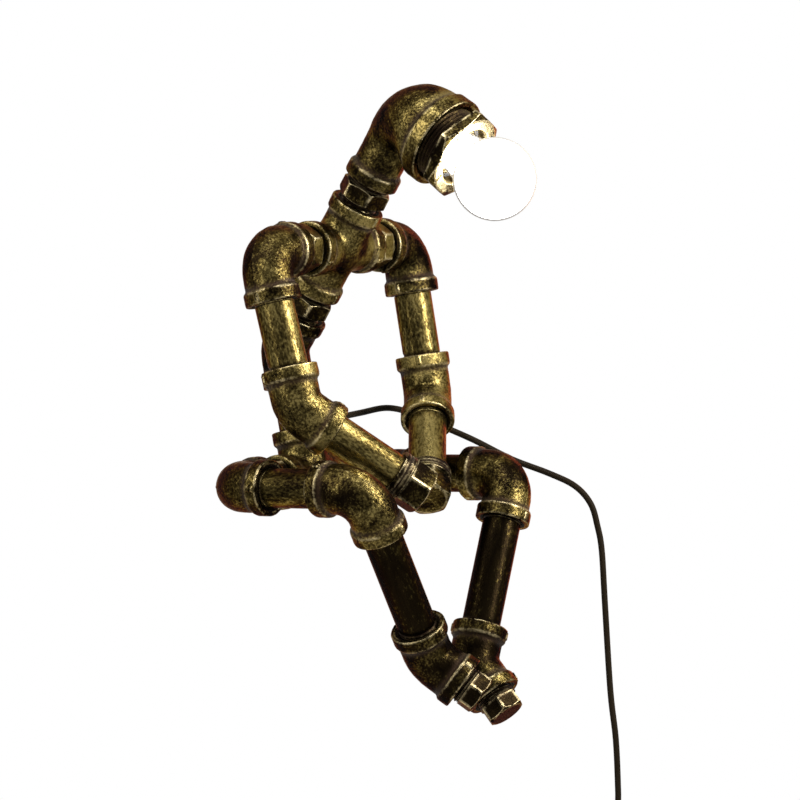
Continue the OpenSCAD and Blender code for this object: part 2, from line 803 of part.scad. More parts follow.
// Front half: slot for the rocker, two bearings for its pin and two posts for the screws
module switch_cover() {
    deep = switch_t / 2;
    color("#181614") switch_frame() difference() {
        union() {
            switch_half();
            for (x = [-1, 1]) translate([x * (rocker_w / 2 + 0.4 + 1.2), 0, pin_at]) {
                translate([0, 0, (deep - switch_wall - pin_at) / 2]) {
                    cube([2.4, 5, deep - switch_wall - pin_at + 2], center = true);
                }
                rotate([0, 90, 0]) cylinder(h = 2.4, r = 2.5, center = true);
            }
            for (end = [-1, 1]) translate([0, end * screw_at, 0.2]) cylinder(h = deep - 0.7, r = 2.4);
        }
        translate([0, 0, deep - switch_wall - 0.1]) linear_extrude(height = 4) {
            square([rocker_w + 0.8, rocker_len + 0.8], center = true);
        }
        translate([0, 0, pin_at]) rotate([0, 90, 0]) {
            cylinder(h = switch_w, r = pin_r + thread_fit, center = true);
        }
        for (end = [-1, 1]) translate([0, end * screw_at, -1]) {
            cylinder(h = deep - 0.6, r = screw_r + thread_fit);
        }
    }
}

// Back half with its two countersunk screw holes
module switch_base() {
    deep = switch_t / 2;
    color("#181614") switch_frame() mirror([0, 0, 1]) difference() {
        union() {
            switch_half();
            for (end = [-1, 1]) translate([0, end * screw_at, 0.2]) cylinder(h = deep - 0.7, r = 3.4);
        }
        for (end = [-1, 1]) translate([0, end * screw_at, -1]) {
            cylinder(h = deep + 4, r = screw_r + 0.2);
            translate([0, 0, deep + 1 - screw_head_len]) cylinder(h = 4, r = screw_head_r + 0.2);
        }
    }
}

module switch_screws() {
    deep = switch_t / 2;
    color("#9a958a") switch_frame() for (end = [-1, 1]) translate([0, end * screw_at, 0]) {
        translate([0, 0, -deep]) cylinder(h = screw_head_len, r = screw_head_r);
        translate([0, 0, -deep + 1]) cylinder(h = 2 * deep - 3, r = screw_r);
    }
}

// Rocker on a cross pin, tilted to one side
module switch_rocker() {
    color("#2b2724") switch_frame() translate([0, 0, pin_at]) rotate([rocker_tilt, 0, 0]) {
        rotate([0, 90, 0]) translate([0, 0, -rocker_w / 2]) linear_extrude(height = rocker_w) {
            intersection() {
                translate([-1.5, 0]) circle(rocker_len / 2 - 0.4);
                translate([-4.8, -rocker_len / 2]) square([7, rocker_len]);
            }
        }
        rotate([0, 90, 0]) cylinder(h = rocker_w + 5.4, r = pin_r, center = true);
    }
}

// Frame of the coil: +Y towards its back, with its middle beside the cord
module coil_frame() {
    translate([hang_at[0], hang_at[1], coil_mid]) rotate([0, 0, front_turn]) {
        translate([-coil_aside, 0, 0]) children();
    }
}

// Coil of spare cord, one solid
module cord_coil() {
    color("#2a2019") coil_frame() rotate([90, 0, 0]) {
        rotate_extrude() translate([coil_d / 2, 0]) circle(coil_bundle_d / 2);
    }
}

// Two bands round the coil's bundle
module coil_tie() {
    tie_len = 6;
    tie_wall = 1.2;
    color("#101010") coil_frame() for (end = [-1, 1]) translate([end * coil_d / 2, 0, -tie_len / 2]) {
        difference() {
            cylinder(h = tie_len, r = coil_bundle_d / 2 + seat_gap + tie_wall);
            translate([0, 0, -1]) cylinder(h = tie_len + 2, r = coil_bundle_d / 2 + seat_gap);
        }
    }
}

// From the side of the coil to the plug
module cord_tail() {
    coil_end = coil_mid - coil_meet + coil_dip;
    bottom = plug_top - cord_hold;
    color("#2a2019") translate([hang_at[0], hang_at[1], bottom]) cylinder(h = coil_end - bottom, r = cord_r);
}

// Frame of the plug: origin at the top of its relief
module plug_frame() {
    translate([hang_at[0], hang_at[1], plug_top]) rotate([0, 0, front_turn]) children();
}

module plug_body() {
    color("#181614") plug_frame() difference() {
        union() {
            translate([0, 0, -plug_relief_len]) {
                cylinder(h = plug_relief_len, r1 = plug_t / 2 - 2, r2 = cord_r + 1);
            }
            translate([0, 0, -plug_relief_len - plug_len]) linear_extrude(height = plug_len) {
                round_rect(plug_w, plug_t, 5);
            }
        }
        translate([0, 0, -cord_hold - seat_gap]) cylinder(h = plug_relief_len, r = cord_r + thread_fit);
    }
}

// Two flat blades that stand out of the plug's face
module plug_blades() {
    blade_w = 6.3;
    blade_t = 1.5;
    blade_pitch = 12.7;
    color("#c9c4b5") plug_frame() for (side = [-1, 1]) {
        translate([side * blade_pitch / 2, 0, -plug_relief_len - plug_len - blade_len / 2]) {
            cube([blade_t, blade_w, blade_len], center = true);
        }
    }
}

// ---------- nodes ----------

pelvis_tee();
waist_pipe();
waist_elbow();
spine_nipple();
chest_cross();
neck_nipple();
shoulder_nipple(RIGHT);  // right_shoulder_nipple
shoulder_nipple(LEFT);  // left_shoulder_nipple
hip_nipple(RIGHT);  // right_hip_nipple
hip_nipple(LEFT);  // left_hip_nipple
head_elbow();
head_bushing();
lamp_socket();
socket_shell();
socket_contact();
bulb_glass();
bulb_base();
bulb_tip();
shoulder_elbow(RIGHT);  // right_shoulder_elbow
upper_arm_pipe(RIGHT);  // right_upper_arm
arm_elbow(RIGHT);  // right_arm_elbow
forearm_pipe(RIGHT);  // right_forearm
hand_cap(RIGHT);  // right_hand_cap
shoulder_elbow(LEFT);  // left_shoulder_elbow
upper_arm_pipe(LEFT);  // left_upper_arm
arm_elbow(LEFT);  // left_arm_elbow
forearm_pipe(LEFT);  // left_forearm
hand_cap(LEFT);  // left_hand_cap
hip_elbow(RIGHT);  // right_hip_elbow
thigh_pipe(RIGHT);  // right_thigh
knee_elbow(RIGHT);  // right_knee_elbow
shin_pipe(RIGHT);  // right_shin
ankle_elbow(RIGHT);  // right_ankle_elbow
foot_plug(RIGHT);  // right_foot_plug
hip_elbow(LEFT);  // left_hip_elbow
thigh_pipe(LEFT);  // left_thigh
knee_elbow(LEFT);  // left_knee_elbow
shin_pipe(LEFT);  // left_shin
ankle_elbow(LEFT);  // left_ankle_elbow
foot_plug(LEFT);  // left_foot_plug
spine_lead();
head_lead();
cord_outlet();
cord();
switch_cover();
switch_base();
switch_screws();
switch_rocker();
cord_lower();
cord_coil();
coil_tie();
cord_tail();
plug_body();
plug_blades();
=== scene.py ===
"""Looks of the robot shaped desk lamp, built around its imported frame.

Every piece is a numpy surface in millimetres in its own frame: a closed outline of rows (place along
a centre line, radius) is carried round that line, so a point is centre + radius * (cos v * out +
sin v * across). The frames repeat the part's own chain of turns and shifts.
"""

import logging
import math
from collections.abc import Callable, Sequence
from dataclasses import dataclass
from enum import Enum

import bmesh
import bpy
import numpy as np
from mathutils import Matrix, Vector


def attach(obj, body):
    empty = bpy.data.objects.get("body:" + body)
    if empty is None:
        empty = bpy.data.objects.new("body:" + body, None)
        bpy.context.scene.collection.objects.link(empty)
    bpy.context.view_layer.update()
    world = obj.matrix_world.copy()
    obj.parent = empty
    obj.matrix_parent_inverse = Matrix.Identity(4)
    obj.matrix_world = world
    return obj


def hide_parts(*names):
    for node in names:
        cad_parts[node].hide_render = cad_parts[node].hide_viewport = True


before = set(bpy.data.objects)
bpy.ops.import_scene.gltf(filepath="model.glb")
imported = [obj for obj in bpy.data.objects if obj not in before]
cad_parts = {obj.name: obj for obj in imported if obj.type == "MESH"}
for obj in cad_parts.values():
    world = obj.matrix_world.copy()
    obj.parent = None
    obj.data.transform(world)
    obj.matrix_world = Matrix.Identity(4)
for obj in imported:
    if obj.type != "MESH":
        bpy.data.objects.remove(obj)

LOG = logging.getLogger("lamp")
Array = np.ndarray
Colour = tuple[float, float, float]
Socket = bpy.types.NodeSocket
Line = Callable[[Array], tuple[Array, Array, Array]]
Relief = Callable[[Array, Array], tuple[Array, Array]]
MM = 0.001
TAU = 2 * math.pi
PIPE_PITCH = 1.814
BUSHING_PITCH = 2.309
HEX_EDGE = 0.8
BLEND_ROWS = 24
BORE_ROWS = 5


class Side(Enum):
    """The robot's own right and left."""

    RIGHT = -1
    LEFT = 1

    @property
    def word(self) -> str:
        """Prefix of this side's node names."""
        return self.name.lower()

    @property
    def mirror(self) -> Array:
        """Matrix that mirrors x on the left and changes nothing on the right."""
        return np.diag([-1.0 * self.value, 1, 1, 1])


# ---------- sizes and frames, as in the part's source ----------


@dataclass(frozen=True)
class Sizes:
    """Sizes of the pipe, the fittings and the stance, in millimetres and degrees."""

    pipe_r: float = 10.65
    bore_r: float = 7.9
    band_r: float = 15.25
    band_len: float = 7.0
    body_r: float = 13.6
    way_r: float = 8.1
    socket_r: float = 10.7
    socket_deep: float = 13.4
    reach_90: float = 28.5
    reach_45: float = 22.4
    bend_r: float = 16.5
    mouth_r: float = 12.9
    mouth_deep: float = 2.6
    engaged: float = 13.0
    rib_w: float = 2.4
    rib_up: float = 0.7
    nipple_gap: float = 15.0
    nipple_af: float = 25.0
    nipple_hex: float = 10.0
    spine_hex_turn: float = 10.0
    neck_hex_turn: float = 16.0
    lower_spine: float = 75.5
    lean_back: float = 12.0
    waist_bend: float = 45.0
    chest_turn: float = 3.0
    head_turn: float = -2.5
    head_neck_reach: float = 43.5
    head_rim_reach: float = 32.0
    head_rim_r: float = 26.0
    head_rim_len: float = 9.0
    head_shell_r: float = 24.3
    head_bend_r: float = 20.0
    hex_af: float = 46.0
    hex_len: float = 6.5
    hex_gap: float = 7.5
    hex_turn: float = 38.0
    thread_r: float = 20.95
    thread_len: float = 20.5
    cavity_r: float = 19.05
    throat_wall: float = 1.6
    globe_r: float = 22.5
    globe_out: float = 22.0
    base_r: float = 13.15
    upper_arm: float = 86.5
    forearm: float = 62.0
    arm_forward: tuple[float, float] = (14.0, 9.0)
    forearm_in: tuple[float, float] = (51.0, 67.5)
    ring_r: float = 13.5
    ring_len: float = 7.0
    hand_af: float = 24.0
    hand_hex: float = 14.0
    plug_af: float = 20.0
    plug_hex: float = 9.0
    plug_seen: float = 3.0
    thigh: float = 89.0
    shin: float = 112.0
    thigh_lift: tuple[float, float] = (1.0, 1.5)
    shin_in: tuple[float, float] = (32.0, 23.5)
    foot_turn: tuple[float, float] = (0.0, -25.0)

    @property
    def half_span(self) -> float:
        """Middle of the body to a shoulder's or hip's centre."""
        return 2 * self.reach_90 + self.nipple_gap

    @property
    def hex_back(self) -> float:
        """Head's centre to the back of the bushing's hexagon."""
        return self.head_rim_reach + self.hex_gap

    @property
    def globe_at(self) -> float:
        """Head's centre to the globe's centre."""
        return self.hex_back + self.hex_len + self.globe_out


S = Sizes()


def shift(x: float, y: float, z: float) -> Array:
    """Placement that moves by (x, y, z)."""
    place = np.eye(4)
    place[:3, 3] = (x, y, z)
    return place


def turn(axis: int, degrees: float) -> Array:
    """Placement that turns about axis 0, 1 or 2.

    Args:
        axis: 0 for X, 1 for Y, 2 for Z.
        degrees: Angle, right-handed.

    Returns:
        A 4x4 matrix.
    """
    a, b = ((1, 2), (2, 0), (0, 1))[axis]
    c, s = math.cos(math.radians(degrees)), math.sin(math.radians(degrees))
    place = np.eye(4)
    place[a, a], place[a, b], place[b, a], place[b, b] = c, -s, s, c
    return place


def pick(pair: tuple[float, float], side: Side) -> float:
    """The right or left value of a pair."""
    return pair[0] if side is Side.RIGHT else pair[1]


class Stance:
    """Frames of the sitting robot, each a 4x4 matrix in the seat's frame."""

    def __init__(self, sizes: Sizes) -> None:
        """Chains the frames.

        Args:
            sizes: The lamp's sizes.
        """
        s = sizes
        self.pelvis = shift(0, 0, s.band_r)
        self.spine = self.pelvis @ turn(0, -s.lean_back)
        self.waist = self.spine @ shift(0, 0, s.lower_spine)
        self.torso = self.waist @ turn(0, s.waist_bend) @ turn(2, s.chest_turn)
        self.chest = self.torso @ shift(0, 0, s.reach_45 + s.nipple_gap + s.reach_90)
        neck = s.reach_90 + s.nipple_gap + s.head_neck_reach
        self.head = self.chest @ shift(0, 0, neck) @ turn(2, s.head_turn)
        self.mouth = self.head @ turn(0, 90)
        self.sizes = s

    def arm(self, side: Side) -> Array:
        """+Z down the upper arm from the shoulder's centre, +Y forward."""
        s = self.sizes
        plumb = 180 - pick(s.arm_forward, side) - (s.waist_bend - s.lean_back)
        return self.chest @ shift(side.value * s.half_span, 0, 0) @ turn(0, plumb)

    def arm_elbow(self, side: Side) -> Array:
        """At the arm's elbow, +Y towards the forearm's side."""
        s = self.sizes
        return self.arm(side) @ shift(0, 0, s.upper_arm) @ turn(2, side.value * pick(s.forearm_in, side))

    def forearm(self, side: Side) -> Array:
        """+Z down the forearm from the elbow's centre."""
        return self.arm_elbow(side) @ turn(0, -45)

    def leg(self, side: Side) -> Array:
        """+Z along the thigh from the hip's centre, +Y up."""
        s = self.sizes
        return self.pelvis @ shift(side.value * s.half_span, 0, 0) @ turn(0, 90 - pick(s.thigh_lift, side))

    def knee(self, side: Side) -> Array:
        """At the knee's centre, turned towards the shin's side."""
        s = self.sizes
        return self.leg(side) @ shift(0, 0, s.thigh) @ turn(2, -side.value * pick(s.shin_in, side))

    def shin(self, side: Side) -> Array:
        """+Z down the shin from the knee's centre."""
        return self.knee(side) @ turn(0, 90)

    def ankle(self, side: Side) -> Array:
        """At the ankle's centre, turned with the foot."""
        s = self.sizes
        return self.shin(side) @ shift(0, 0, s.shin) @ turn(2, pick(s.foot_turn, side))

    def foot(self, side: Side) -> Array:
        """+Z out of the foot's port."""
        return self.ankle(side) @ turn(0, -45)


STANCE = Stance(S)


# ---------- surfaces ----------


@dataclass(frozen=True)
class Corner:
    """One corner of an outline: place along the centre line, radius, rounding and what the rows have."""

    along: float
    radius: float
    ease: float = 0.0
    flats: float = math.inf
    thread: float = 0.0
    step: float = 1.2


@dataclass
class Outline:
    """Rows of a turned or swept surface."""

    along: Array
    radius: Array
    flats: Array
    thread: Array
    wear: Array
    hollow: Array


@dataclass
class Grid:
    """A surface of rows by columns, its places in millimetres, how worn each point is, and how deep in a
    hollow it lies, which the metal finishes darken as painted shade.
    """

    points: Array
    wear: Array
    hollow: Array
    flow: Array
    wrap_rows: bool = True


def rounded(corners: Sequence[Corner], closed: bool = True) -> Outline:
    """Turns corners into closely spaced rows, each corner eased by a parabola that starts `ease` before it.

    Wear falls off with the distance from the nearest outside corner as exp(-(d / 1.1)^2), and hollow
    with that from the nearest inside corner as exp(-(d / 1.7)^2).

    Args:
        corners: The outline's corners; a piece's outside runs towards larger `along`.
        closed: Whether the last corner joins the first.

    Returns:
        The rows.
    """
    spot = np.array([(c.along, c.radius) for c in corners])
    count = len(corners)
    rows: list[Array] = []
    marks: list[Array] = []
    outside: list[Array] = []
    inside: list[Array] = []
    for i, corner in enumerate(corners):
        before = spot[i - 1] if closed or i > 0 else spot[i]
        after = spot[(i + 1) % count] if closed or i < count - 1 else spot[i]
        to_before, to_after = before - spot[i], after - spot[i]
        len_before, len_after = np.hypot(*to_before), np.hypot(*to_after)
        ends = not closed and i in (0, count - 1)
        if ends or len_before < 1e-9 or len_after < 1e-9:
            piece = spot[i][None]
        else:
            ease = min(corner.ease, 0.48 * len_before, 0.48 * len_after)
            start = spot[i] + to_before / len_before * ease
            end = spot[i] + to_after / len_after * ease
            u = np.linspace(0, 1, 6 if ease > 0.25 else 3)[:, None]
            curve = (1 - u) ** 2 * start + 2 * u * (1 - u) * spot[i] + u**2 * end
            piece = curve if ease > 0 else spot[i][None]
            cross = -to_before[0] * to_after[1] + to_before[1] * to_after[0]
            if corner.ease > 0:
                (outside if cross < 0 else inside).append(spot[i])
        rows.append(piece)
        marks.append(np.full(len(piece), i))
    joined = np.concatenate(rows)
    label = np.concatenate(marks)
    nxt = np.roll(joined, -1, 0) if closed else np.vstack([joined[1:], joined[-1:]])
    gap = np.hypot(*(nxt - joined).T)
    steps = np.array([corners[k].step for k in label])
    same = label == np.roll(label, -1)
    extra = np.where(same, 1, np.maximum(1, np.ceil(gap / steps))).astype(int)
    if not closed:
        extra[-1] = 1
    base = np.repeat(np.arange(len(joined)), extra)
    first = np.repeat(np.cumsum(extra) - extra, extra)
    u = (np.arange(len(base)) - first) / np.repeat(extra, extra)
    line = joined[base] + u[:, None] * (nxt[base] - joined[base])
    owner = label[base]

    def nearness(spots: list[Array], reach: float) -> Array:
        """How close each row lies to the nearest of some corners, 1 on it."""
        if not spots:
            return np.zeros(len(line))
        d = np.hypot(*(line[:, None] - np.array(spots)[None]).transpose(2, 0, 1))
        return np.exp(-((d.min(1) / reach) ** 2))

    return Outline(
        line[:, 0],
        line[:, 1],
        np.array([c.flats for c in corners])[owner],
        np.array([c.thread for c in corners])[owner],
        nearness(outside, 1.1),
        nearness(inside, 1.7),
    )


def straight(along: Array) -> tuple[Array, Array, Array]:
    """Centre line along +Z: centre, out and across at each place."""
    zero, one = np.zeros_like(along), np.ones_like(along)
    return (
        np.stack([zero, zero, along], 1),
        np.stack([one, zero, zero], 1),
        np.stack([zero, one, zero], 1),
    )


def bent(reach: float, degrees: float, radius: float) -> Line:
    """Centre line of an elbow: up +Z to the bend, round an arc towards +X, then straight.

    Args:
        reach: Port's face to the centre, at both ends.
        degrees: Turn of the elbow.
        radius: Radius of the arc.

    Returns:
        A function of the place along the line, 0 at the first port's face.
    """
    whole = math.radians(degrees)
    back = radius * math.tan(whole / 2)

    def line(along: Array) -> tuple[Array, Array, Array]:
        """Centre, out and across at each place."""
        lead = reach - back
        angle = np.clip((along - lead) / radius, 0, whole)
        rest = np.maximum(along - lead - radius * whole, 0)
        zero = np.zeros_like(along)
        tangent = np.stack([np.sin(angle), zero, np.cos(angle)], 1)
        arc = np.stack([radius - radius * np.cos(angle), zero, radius * np.sin(angle) - back], 1)
        centre = arc + rest[:, None] * tangent
        centre[:, 2] -= np.maximum(lead - along, 0)
        out = np.stack([np.cos(angle), zero, -np.sin(angle)], 1)
        across = np.stack([zero, zero + 1, zero], 1)
        return centre, out, across

    return line


def even(count: int) -> Array:
    """`count` equal angles round a circle."""
    return np.arange(count) * TAU / count


def smooth(u: float | Array) -> float | Array:
    """Smooth step of a share from 0 to 1."""
    return u**2 * (3 - 2 * u)


def ribbed() -> Array:
    """Angles round a fitting, closer together at its two parting lines."""
    near = np.radians([0, 1.8, 3.2, 4.2, 5.2, 6.6, 8.6, 11.2])
    far = np.radians(np.linspace(15, 165, 39))
    half = np.concatenate([near, far, math.pi - near[:0:-1]])
    return np.concatenate([half, half + math.pi])


def wave(points: Array, length: float, seed: int, count: int = 20) -> Array:
    """Smooth seeded lumps: the sum of sine waves in random directions, about -1 to 1.

    Args:
        points: Places, (..., 3), in millimetres.
        length: Wavelength in millimetres.
        seed: Seed of the directions.
        count: Number of waves.

    Returns:
        One value for each place.
    """
    rng = np.random.default_rng(seed)
    ways = rng.normal(size=(count, 3))
    ways *= (TAU / length / rng.uniform(0.6, 1.6, count) / np.linalg.norm(ways, axis=1))[:, None]
    return np.sin(points @ ways.T + rng.uniform(0, TAU, count)).sum(-1) / math.sqrt(count / 2) / 1.6


def lumps(points: Array, seed: int) -> Array:
    """Height of a sand casting's lumps, about -1 to 1: a broad wave and a fine one."""
    return 0.6 * wave(points, 9.0, seed) + 0.4 * wave(points, 3.2, seed + 50)


def bevelled(across: float) -> tuple[float, float, float]:
    """Sizes of a hexagon whose end is turned down at 30 degrees to HEX_EDGE inside its flats.

    Args:
        across: Size across the flats.

    Returns:
        Half of that size, the radius of the corners, and the length of the bevel along the axis.
    """
    half = across / 2
    top = half / math.cos(math.pi / 6)
    return half, top, (top - half + HEX_EDGE) * math.tan(math.radians(30))


def hexagon(angles: Array, half: Array) -> Array:
    """Radius of a hexagon with softened corners, a corner at angle 0.

    1 / R is the 60-norm of the six flats' cosines over half the size across the flats.

    Args:
        angles: Column angles.
        half: Half the size across the flats, one for each row.

    Returns:
        Radii, rows by columns, infinite where half is.
    """
    normals = np.radians(np.arange(30, 360, 60))
    cosines = np.maximum(np.cos(angles[:, None] - normals[None]), 0)
    inverse = (cosines**60).sum(1) ** (1 / 60)
    return half[:, None] / inverse[None]


def swept(
    outline: Outline,
    angles: Array,
    line: Line = straight,
    relief: Relief | None = None,
    pitch: float = PIPE_PITCH,
    rough: float | Array = 0.0,
    seed: int = 1,
    closed: bool = True,
) -> Grid:
    """Carries an outline round a centre line.

    Point = centre(s) + R * (cos v * out(s) + sin v * across(s)), with R the row's radius, cut by its
    hexagon where it has one, less the row's thread depth times a wave of the helix s / pitch + v /
    (2 pi), plus the relief and seeded lumps of `rough` millimetres on the outside.

    Args:
        outline: Rows.
        angles: Columns.
        line: Centre line.
        relief: Function of place and angle that gives raised height and its wear.
        pitch: Pitch of the thread.
        rough: Height of the casting's lumps.
        seed: Seed of the lumps.
        closed: Whether the rows wrap.

    Returns:
        The surface.
    """
    centre, out, across = line(outline.along)
    s, v = outline.along[:, None], angles[None]
    radius = outline.radius[:, None] + 0 * v
    wear = outline.wear[:, None] + 0 * v
    hollow = outline.hollow[:, None] + 0 * v
    hexed = np.isfinite(outline.flats)
    if hexed.any():
        flat = hexagon(angles, np.where(hexed, outline.flats, 1e6))
        radius = np.minimum(radius, flat)
        to_corner = np.abs((angles + math.pi / 6) % (math.pi / 3) - math.pi / 6)
        corner = np.exp(-((to_corner[None] * radius) ** 2)) * (outline.radius[:, None] > flat - 0.5)
        bevel = np.exp(-(((outline.radius[:, None] - flat) / 0.45) ** 2))
        wear = np.maximum(wear, np.where(hexed[:, None], 1.5 * np.maximum(corner, bevel), 0))
    turns = (s / pitch + v / TAU) % 1.0
    groove = np.abs(2 * turns - 1) ** 1.3
    radius = radius - outline.thread[:, None] * groove
    wear = np.maximum(wear, (outline.thread[:, None] > 0) * 0.6 * np.exp(-((groove / 0.35) ** 2)))
    # Thread grooves count as hollow, so the metal finishes darken them with painted shade.
    hollow = np.maximum(hollow, (outline.thread[:, None] > 0) * groove)
    if relief is not None:
        up, shine = relief(s, v)
        radius = radius + up
        wear = np.maximum(wear, shine)
    ray = np.cos(v)[..., None] * out[:, None] + np.sin(v)[..., None] * across[:, None]
    points = centre[:, None] + radius[..., None] * ray
    height = np.asarray(rough) * np.clip((outline.radius - 11.0) / 1.5, 0, 1)
    if np.any(height):
        points = points + (height[:, None] * lumps(points, seed))[..., None] * ray
    flow = np.stack([radius * np.cos(v), radius * np.sin(v), s + 0 * v], -1)
    return Grid(points, wear, hollow, flow, wrap_rows=closed)


class Skin:
    """Gathers grids into one mesh."""

    def __init__(self) -> None:
        """Starts with no surface."""
        self.grids: list[tuple[Grid, Array]] = []

    def add(self, grid: Grid, place: Array | None = None) -> "Skin":
        """Adds a grid, placed by a matrix in millimetres.

        Args:
            grid: The surface.
            place: Its placement; none leaves it where it is.

        Returns:
            The skin, so that calls can be chained.
        """
        self.grids.append((grid, np.eye(4) if place is None else place))
        return self

    @staticmethod
    def _quads(grid: Grid, start: int) -> Array:
        """Corner numbers of a grid's faces, counted from `start`."""
        m, n = grid.points.shape[:2]
        i = np.arange(m if grid.wrap_rows else m - 1)[:, None]
        j = np.arange(n)[None]
        a, b = i * n + j, i * n + (j + 1) % n
        c, d = (i + 1) % m * n + (j + 1) % n, (i + 1) % m * n + j
        return start + np.stack([a, b, c, d], -1).reshape(-1, 4)

    def build(self, name: str, crease: float = 38.0) -> bpy.types.Object:
        """Writes the mesh, in metres, with its seams and poles closed and its faces outwards.

        Args:
            name: The piece's name.
            crease: Angle between faces above which an edge stays sharp, in degrees.

        Returns:
            The new object, with attributes wear, hollow and flow.
        """
        spots, quads, start = [], [], 0
        for grid, place in self.grids:
            flat = grid.points.reshape(-1, 3)
            spots.append(flat @ place[:3, :3].T + place[:3, 3])
            quads.append(self._quads(grid, start))
            start += len(flat)
        co = np.concatenate(spots) * MM
        faces = np.concatenate(quads)
        _, first, index = np.unique(np.round(co, 8), axis=0, return_index=True, return_inverse=True)
        faces = index.reshape(-1)[faces]
        keep = faces != np.roll(faces, -1, axis=1)
        counts = keep.sum(1)
        keep &= (counts >= 3)[:, None]
        counts = counts[counts >= 3]
        mesh = bpy.data.meshes.new(name)
        mesh.vertices.add(len(first))
        mesh.vertices.foreach_set("co", co[first].astype(np.float32).ravel())
        mesh.loops.add(int(counts.sum()))
        mesh.loops.foreach_set("vertex_index", faces[keep].astype(np.int32))
        mesh.polygons.add(len(counts))
        mesh.polygons.foreach_set("loop_start", (np.cumsum(counts) - counts).astype(np.int32))
        mesh.update(calc_edges=True)
        for label in ("wear", "hollow"):
            values = np.concatenate([getattr(grid, label).ravel() for grid, _ in self.grids])[first]
            mesh.attributes.new(label, "FLOAT", "POINT").data.foreach_set("value", values.astype(np.float32))
        flow = np.concatenate([grid.flow.reshape(-1, 3) for grid, _ in self.grids])[first] * MM
        unrolled = mesh.attributes.new("flow", "FLOAT_VECTOR", "POINT")
        unrolled.data.foreach_set("vector", flow.astype(np.float32).ravel())
        work = bmesh.new()
        work.from_mesh(mesh)
        bmesh.ops.remove_doubles(work, verts=work.verts[:], dist=2e-6)
        bmesh.ops.recalc_face_normals(work, faces=work.faces[:])
        work.to_mesh(mesh)
        work.free()
        mesh.validate()
        mesh.shade_smooth()
        mesh.set_sharp_from_angle(angle=math.radians(crease))
        piece = bpy.data.objects.new(name, mesh)
        bpy.context.scene.collection.objects.link(piece)
        return piece


# ---------- materials ----------


class Nodes:
    """A material's node tree, with short calls to add and join nodes."""

    def __init__(self, name: str) -> None:
        """Makes an empty material.

        Args:
            name: The material's name.
        """
        self.material = bpy.data.materials.new(name)
        self.material.use_nodes = True
        self.tree = self.material.node_tree
        self.tree.nodes.clear()
        self.out = self.tree.nodes.new("ShaderNodeOutputMaterial")

    def add(self, kind: str, **values: object) -> bpy.types.Node:
        """Adds a node; a value names an attribute of the node or, with _ for a space, an input.

        Args:
            kind: Node type without its ShaderNode prefix.
            **values: Attributes, input values or sockets to link.

        Returns:
            The node.
        """
        node = self.tree.nodes.new("ShaderNode" + kind)
        for key, value in values.items():
            label = key.replace("_", " ")
            if key in node.bl_rna.properties:
                setattr(node, key, value)
            elif isinstance(value, Socket):
                self.tree.links.new(value, node.inputs[label])
            else:
                node.inputs[label].default_value = value
        return node

    def level(
        self, value: Socket, low: float, high: float, to_low: float = 0.0, to_high: float = 1.0
    ) -> Socket:
        """Maps a value from low..high to to_low..to_high, clamped."""
        node = self.add("MapRange", clamp=True, Value=value, From_Min=low, From_Max=high)
        node.inputs["To Min"].default_value = to_low
        node.inputs["To Max"].default_value = to_high
        return node.outputs["Result"]

    def math(self, operation: str, a: object, b: object) -> Socket:
        """One arithmetic step."""
        node = self.add("Math", operation=operation)
        for socket, value in zip(node.inputs, (a, b)):
            if isinstance(value, Socket):
                self.tree.links.new(value, socket)
            else:
                socket.default_value = value
        return node.outputs[0]

    def mix(self, share: object, a: object, b: object) -> Socket:
        """Mixes two colours."""
        node = self.add("Mix", data_type="RGBA")
        for socket, value in ((node.inputs[0], share), (node.inputs[6], a), (node.inputs[7], b)):
            if isinstance(value, Socket):
                self.tree.links.new(value, socket)
            else:
                socket.default_value = (*value, 1) if isinstance(value, tuple) else value
        return node.outputs[2]

    def noise(
        self, coords: Socket, scale: float, detail: float = 3.0, rough: float = 0.55, bend: float = 0.0
    ) -> Socket:
        """Noise of a given scale on the coordinates."""
        node = self.add("TexNoise", Vector=coords, Scale=scale, Detail=detail, Roughness=rough)
        node.inputs["Distortion"].default_value = bend
        return node.outputs[0]

    def place(self) -> Socket:
        """The object's own coordinates, in metres."""
        return self.add("TexCoord").outputs["Object"]

    def read(self, name: str, output: str = "Fac") -> Socket:
        """An attribute of the mesh."""
        return self.add("Attribute", attribute_name=name).outputs[output]

    def bump(
        self, height: Socket, distance: float, strength: float = 1.0, under: Socket | None = None
    ) -> Socket:
        """Bump of a height, on top of another normal if one is given."""
        node = self.add("Bump", Height=height, Distance=distance, Strength=strength)
        if under is not None:
            self.tree.links.new(under, node.inputs["Normal"])
        return node.outputs["Normal"]

    def finish(self, shader: bpy.types.Node) -> bpy.types.Material:
        """Joins a shader to the output and returns the material."""
        self.tree.links.new(shader.outputs[0], self.out.inputs["Surface"])
        return self.material


class Grain(Enum):
    """How the metal's pattern lies: as cast, or drawn along the piece."""

    CAST = "cast"
    DRAWN = "drawn"


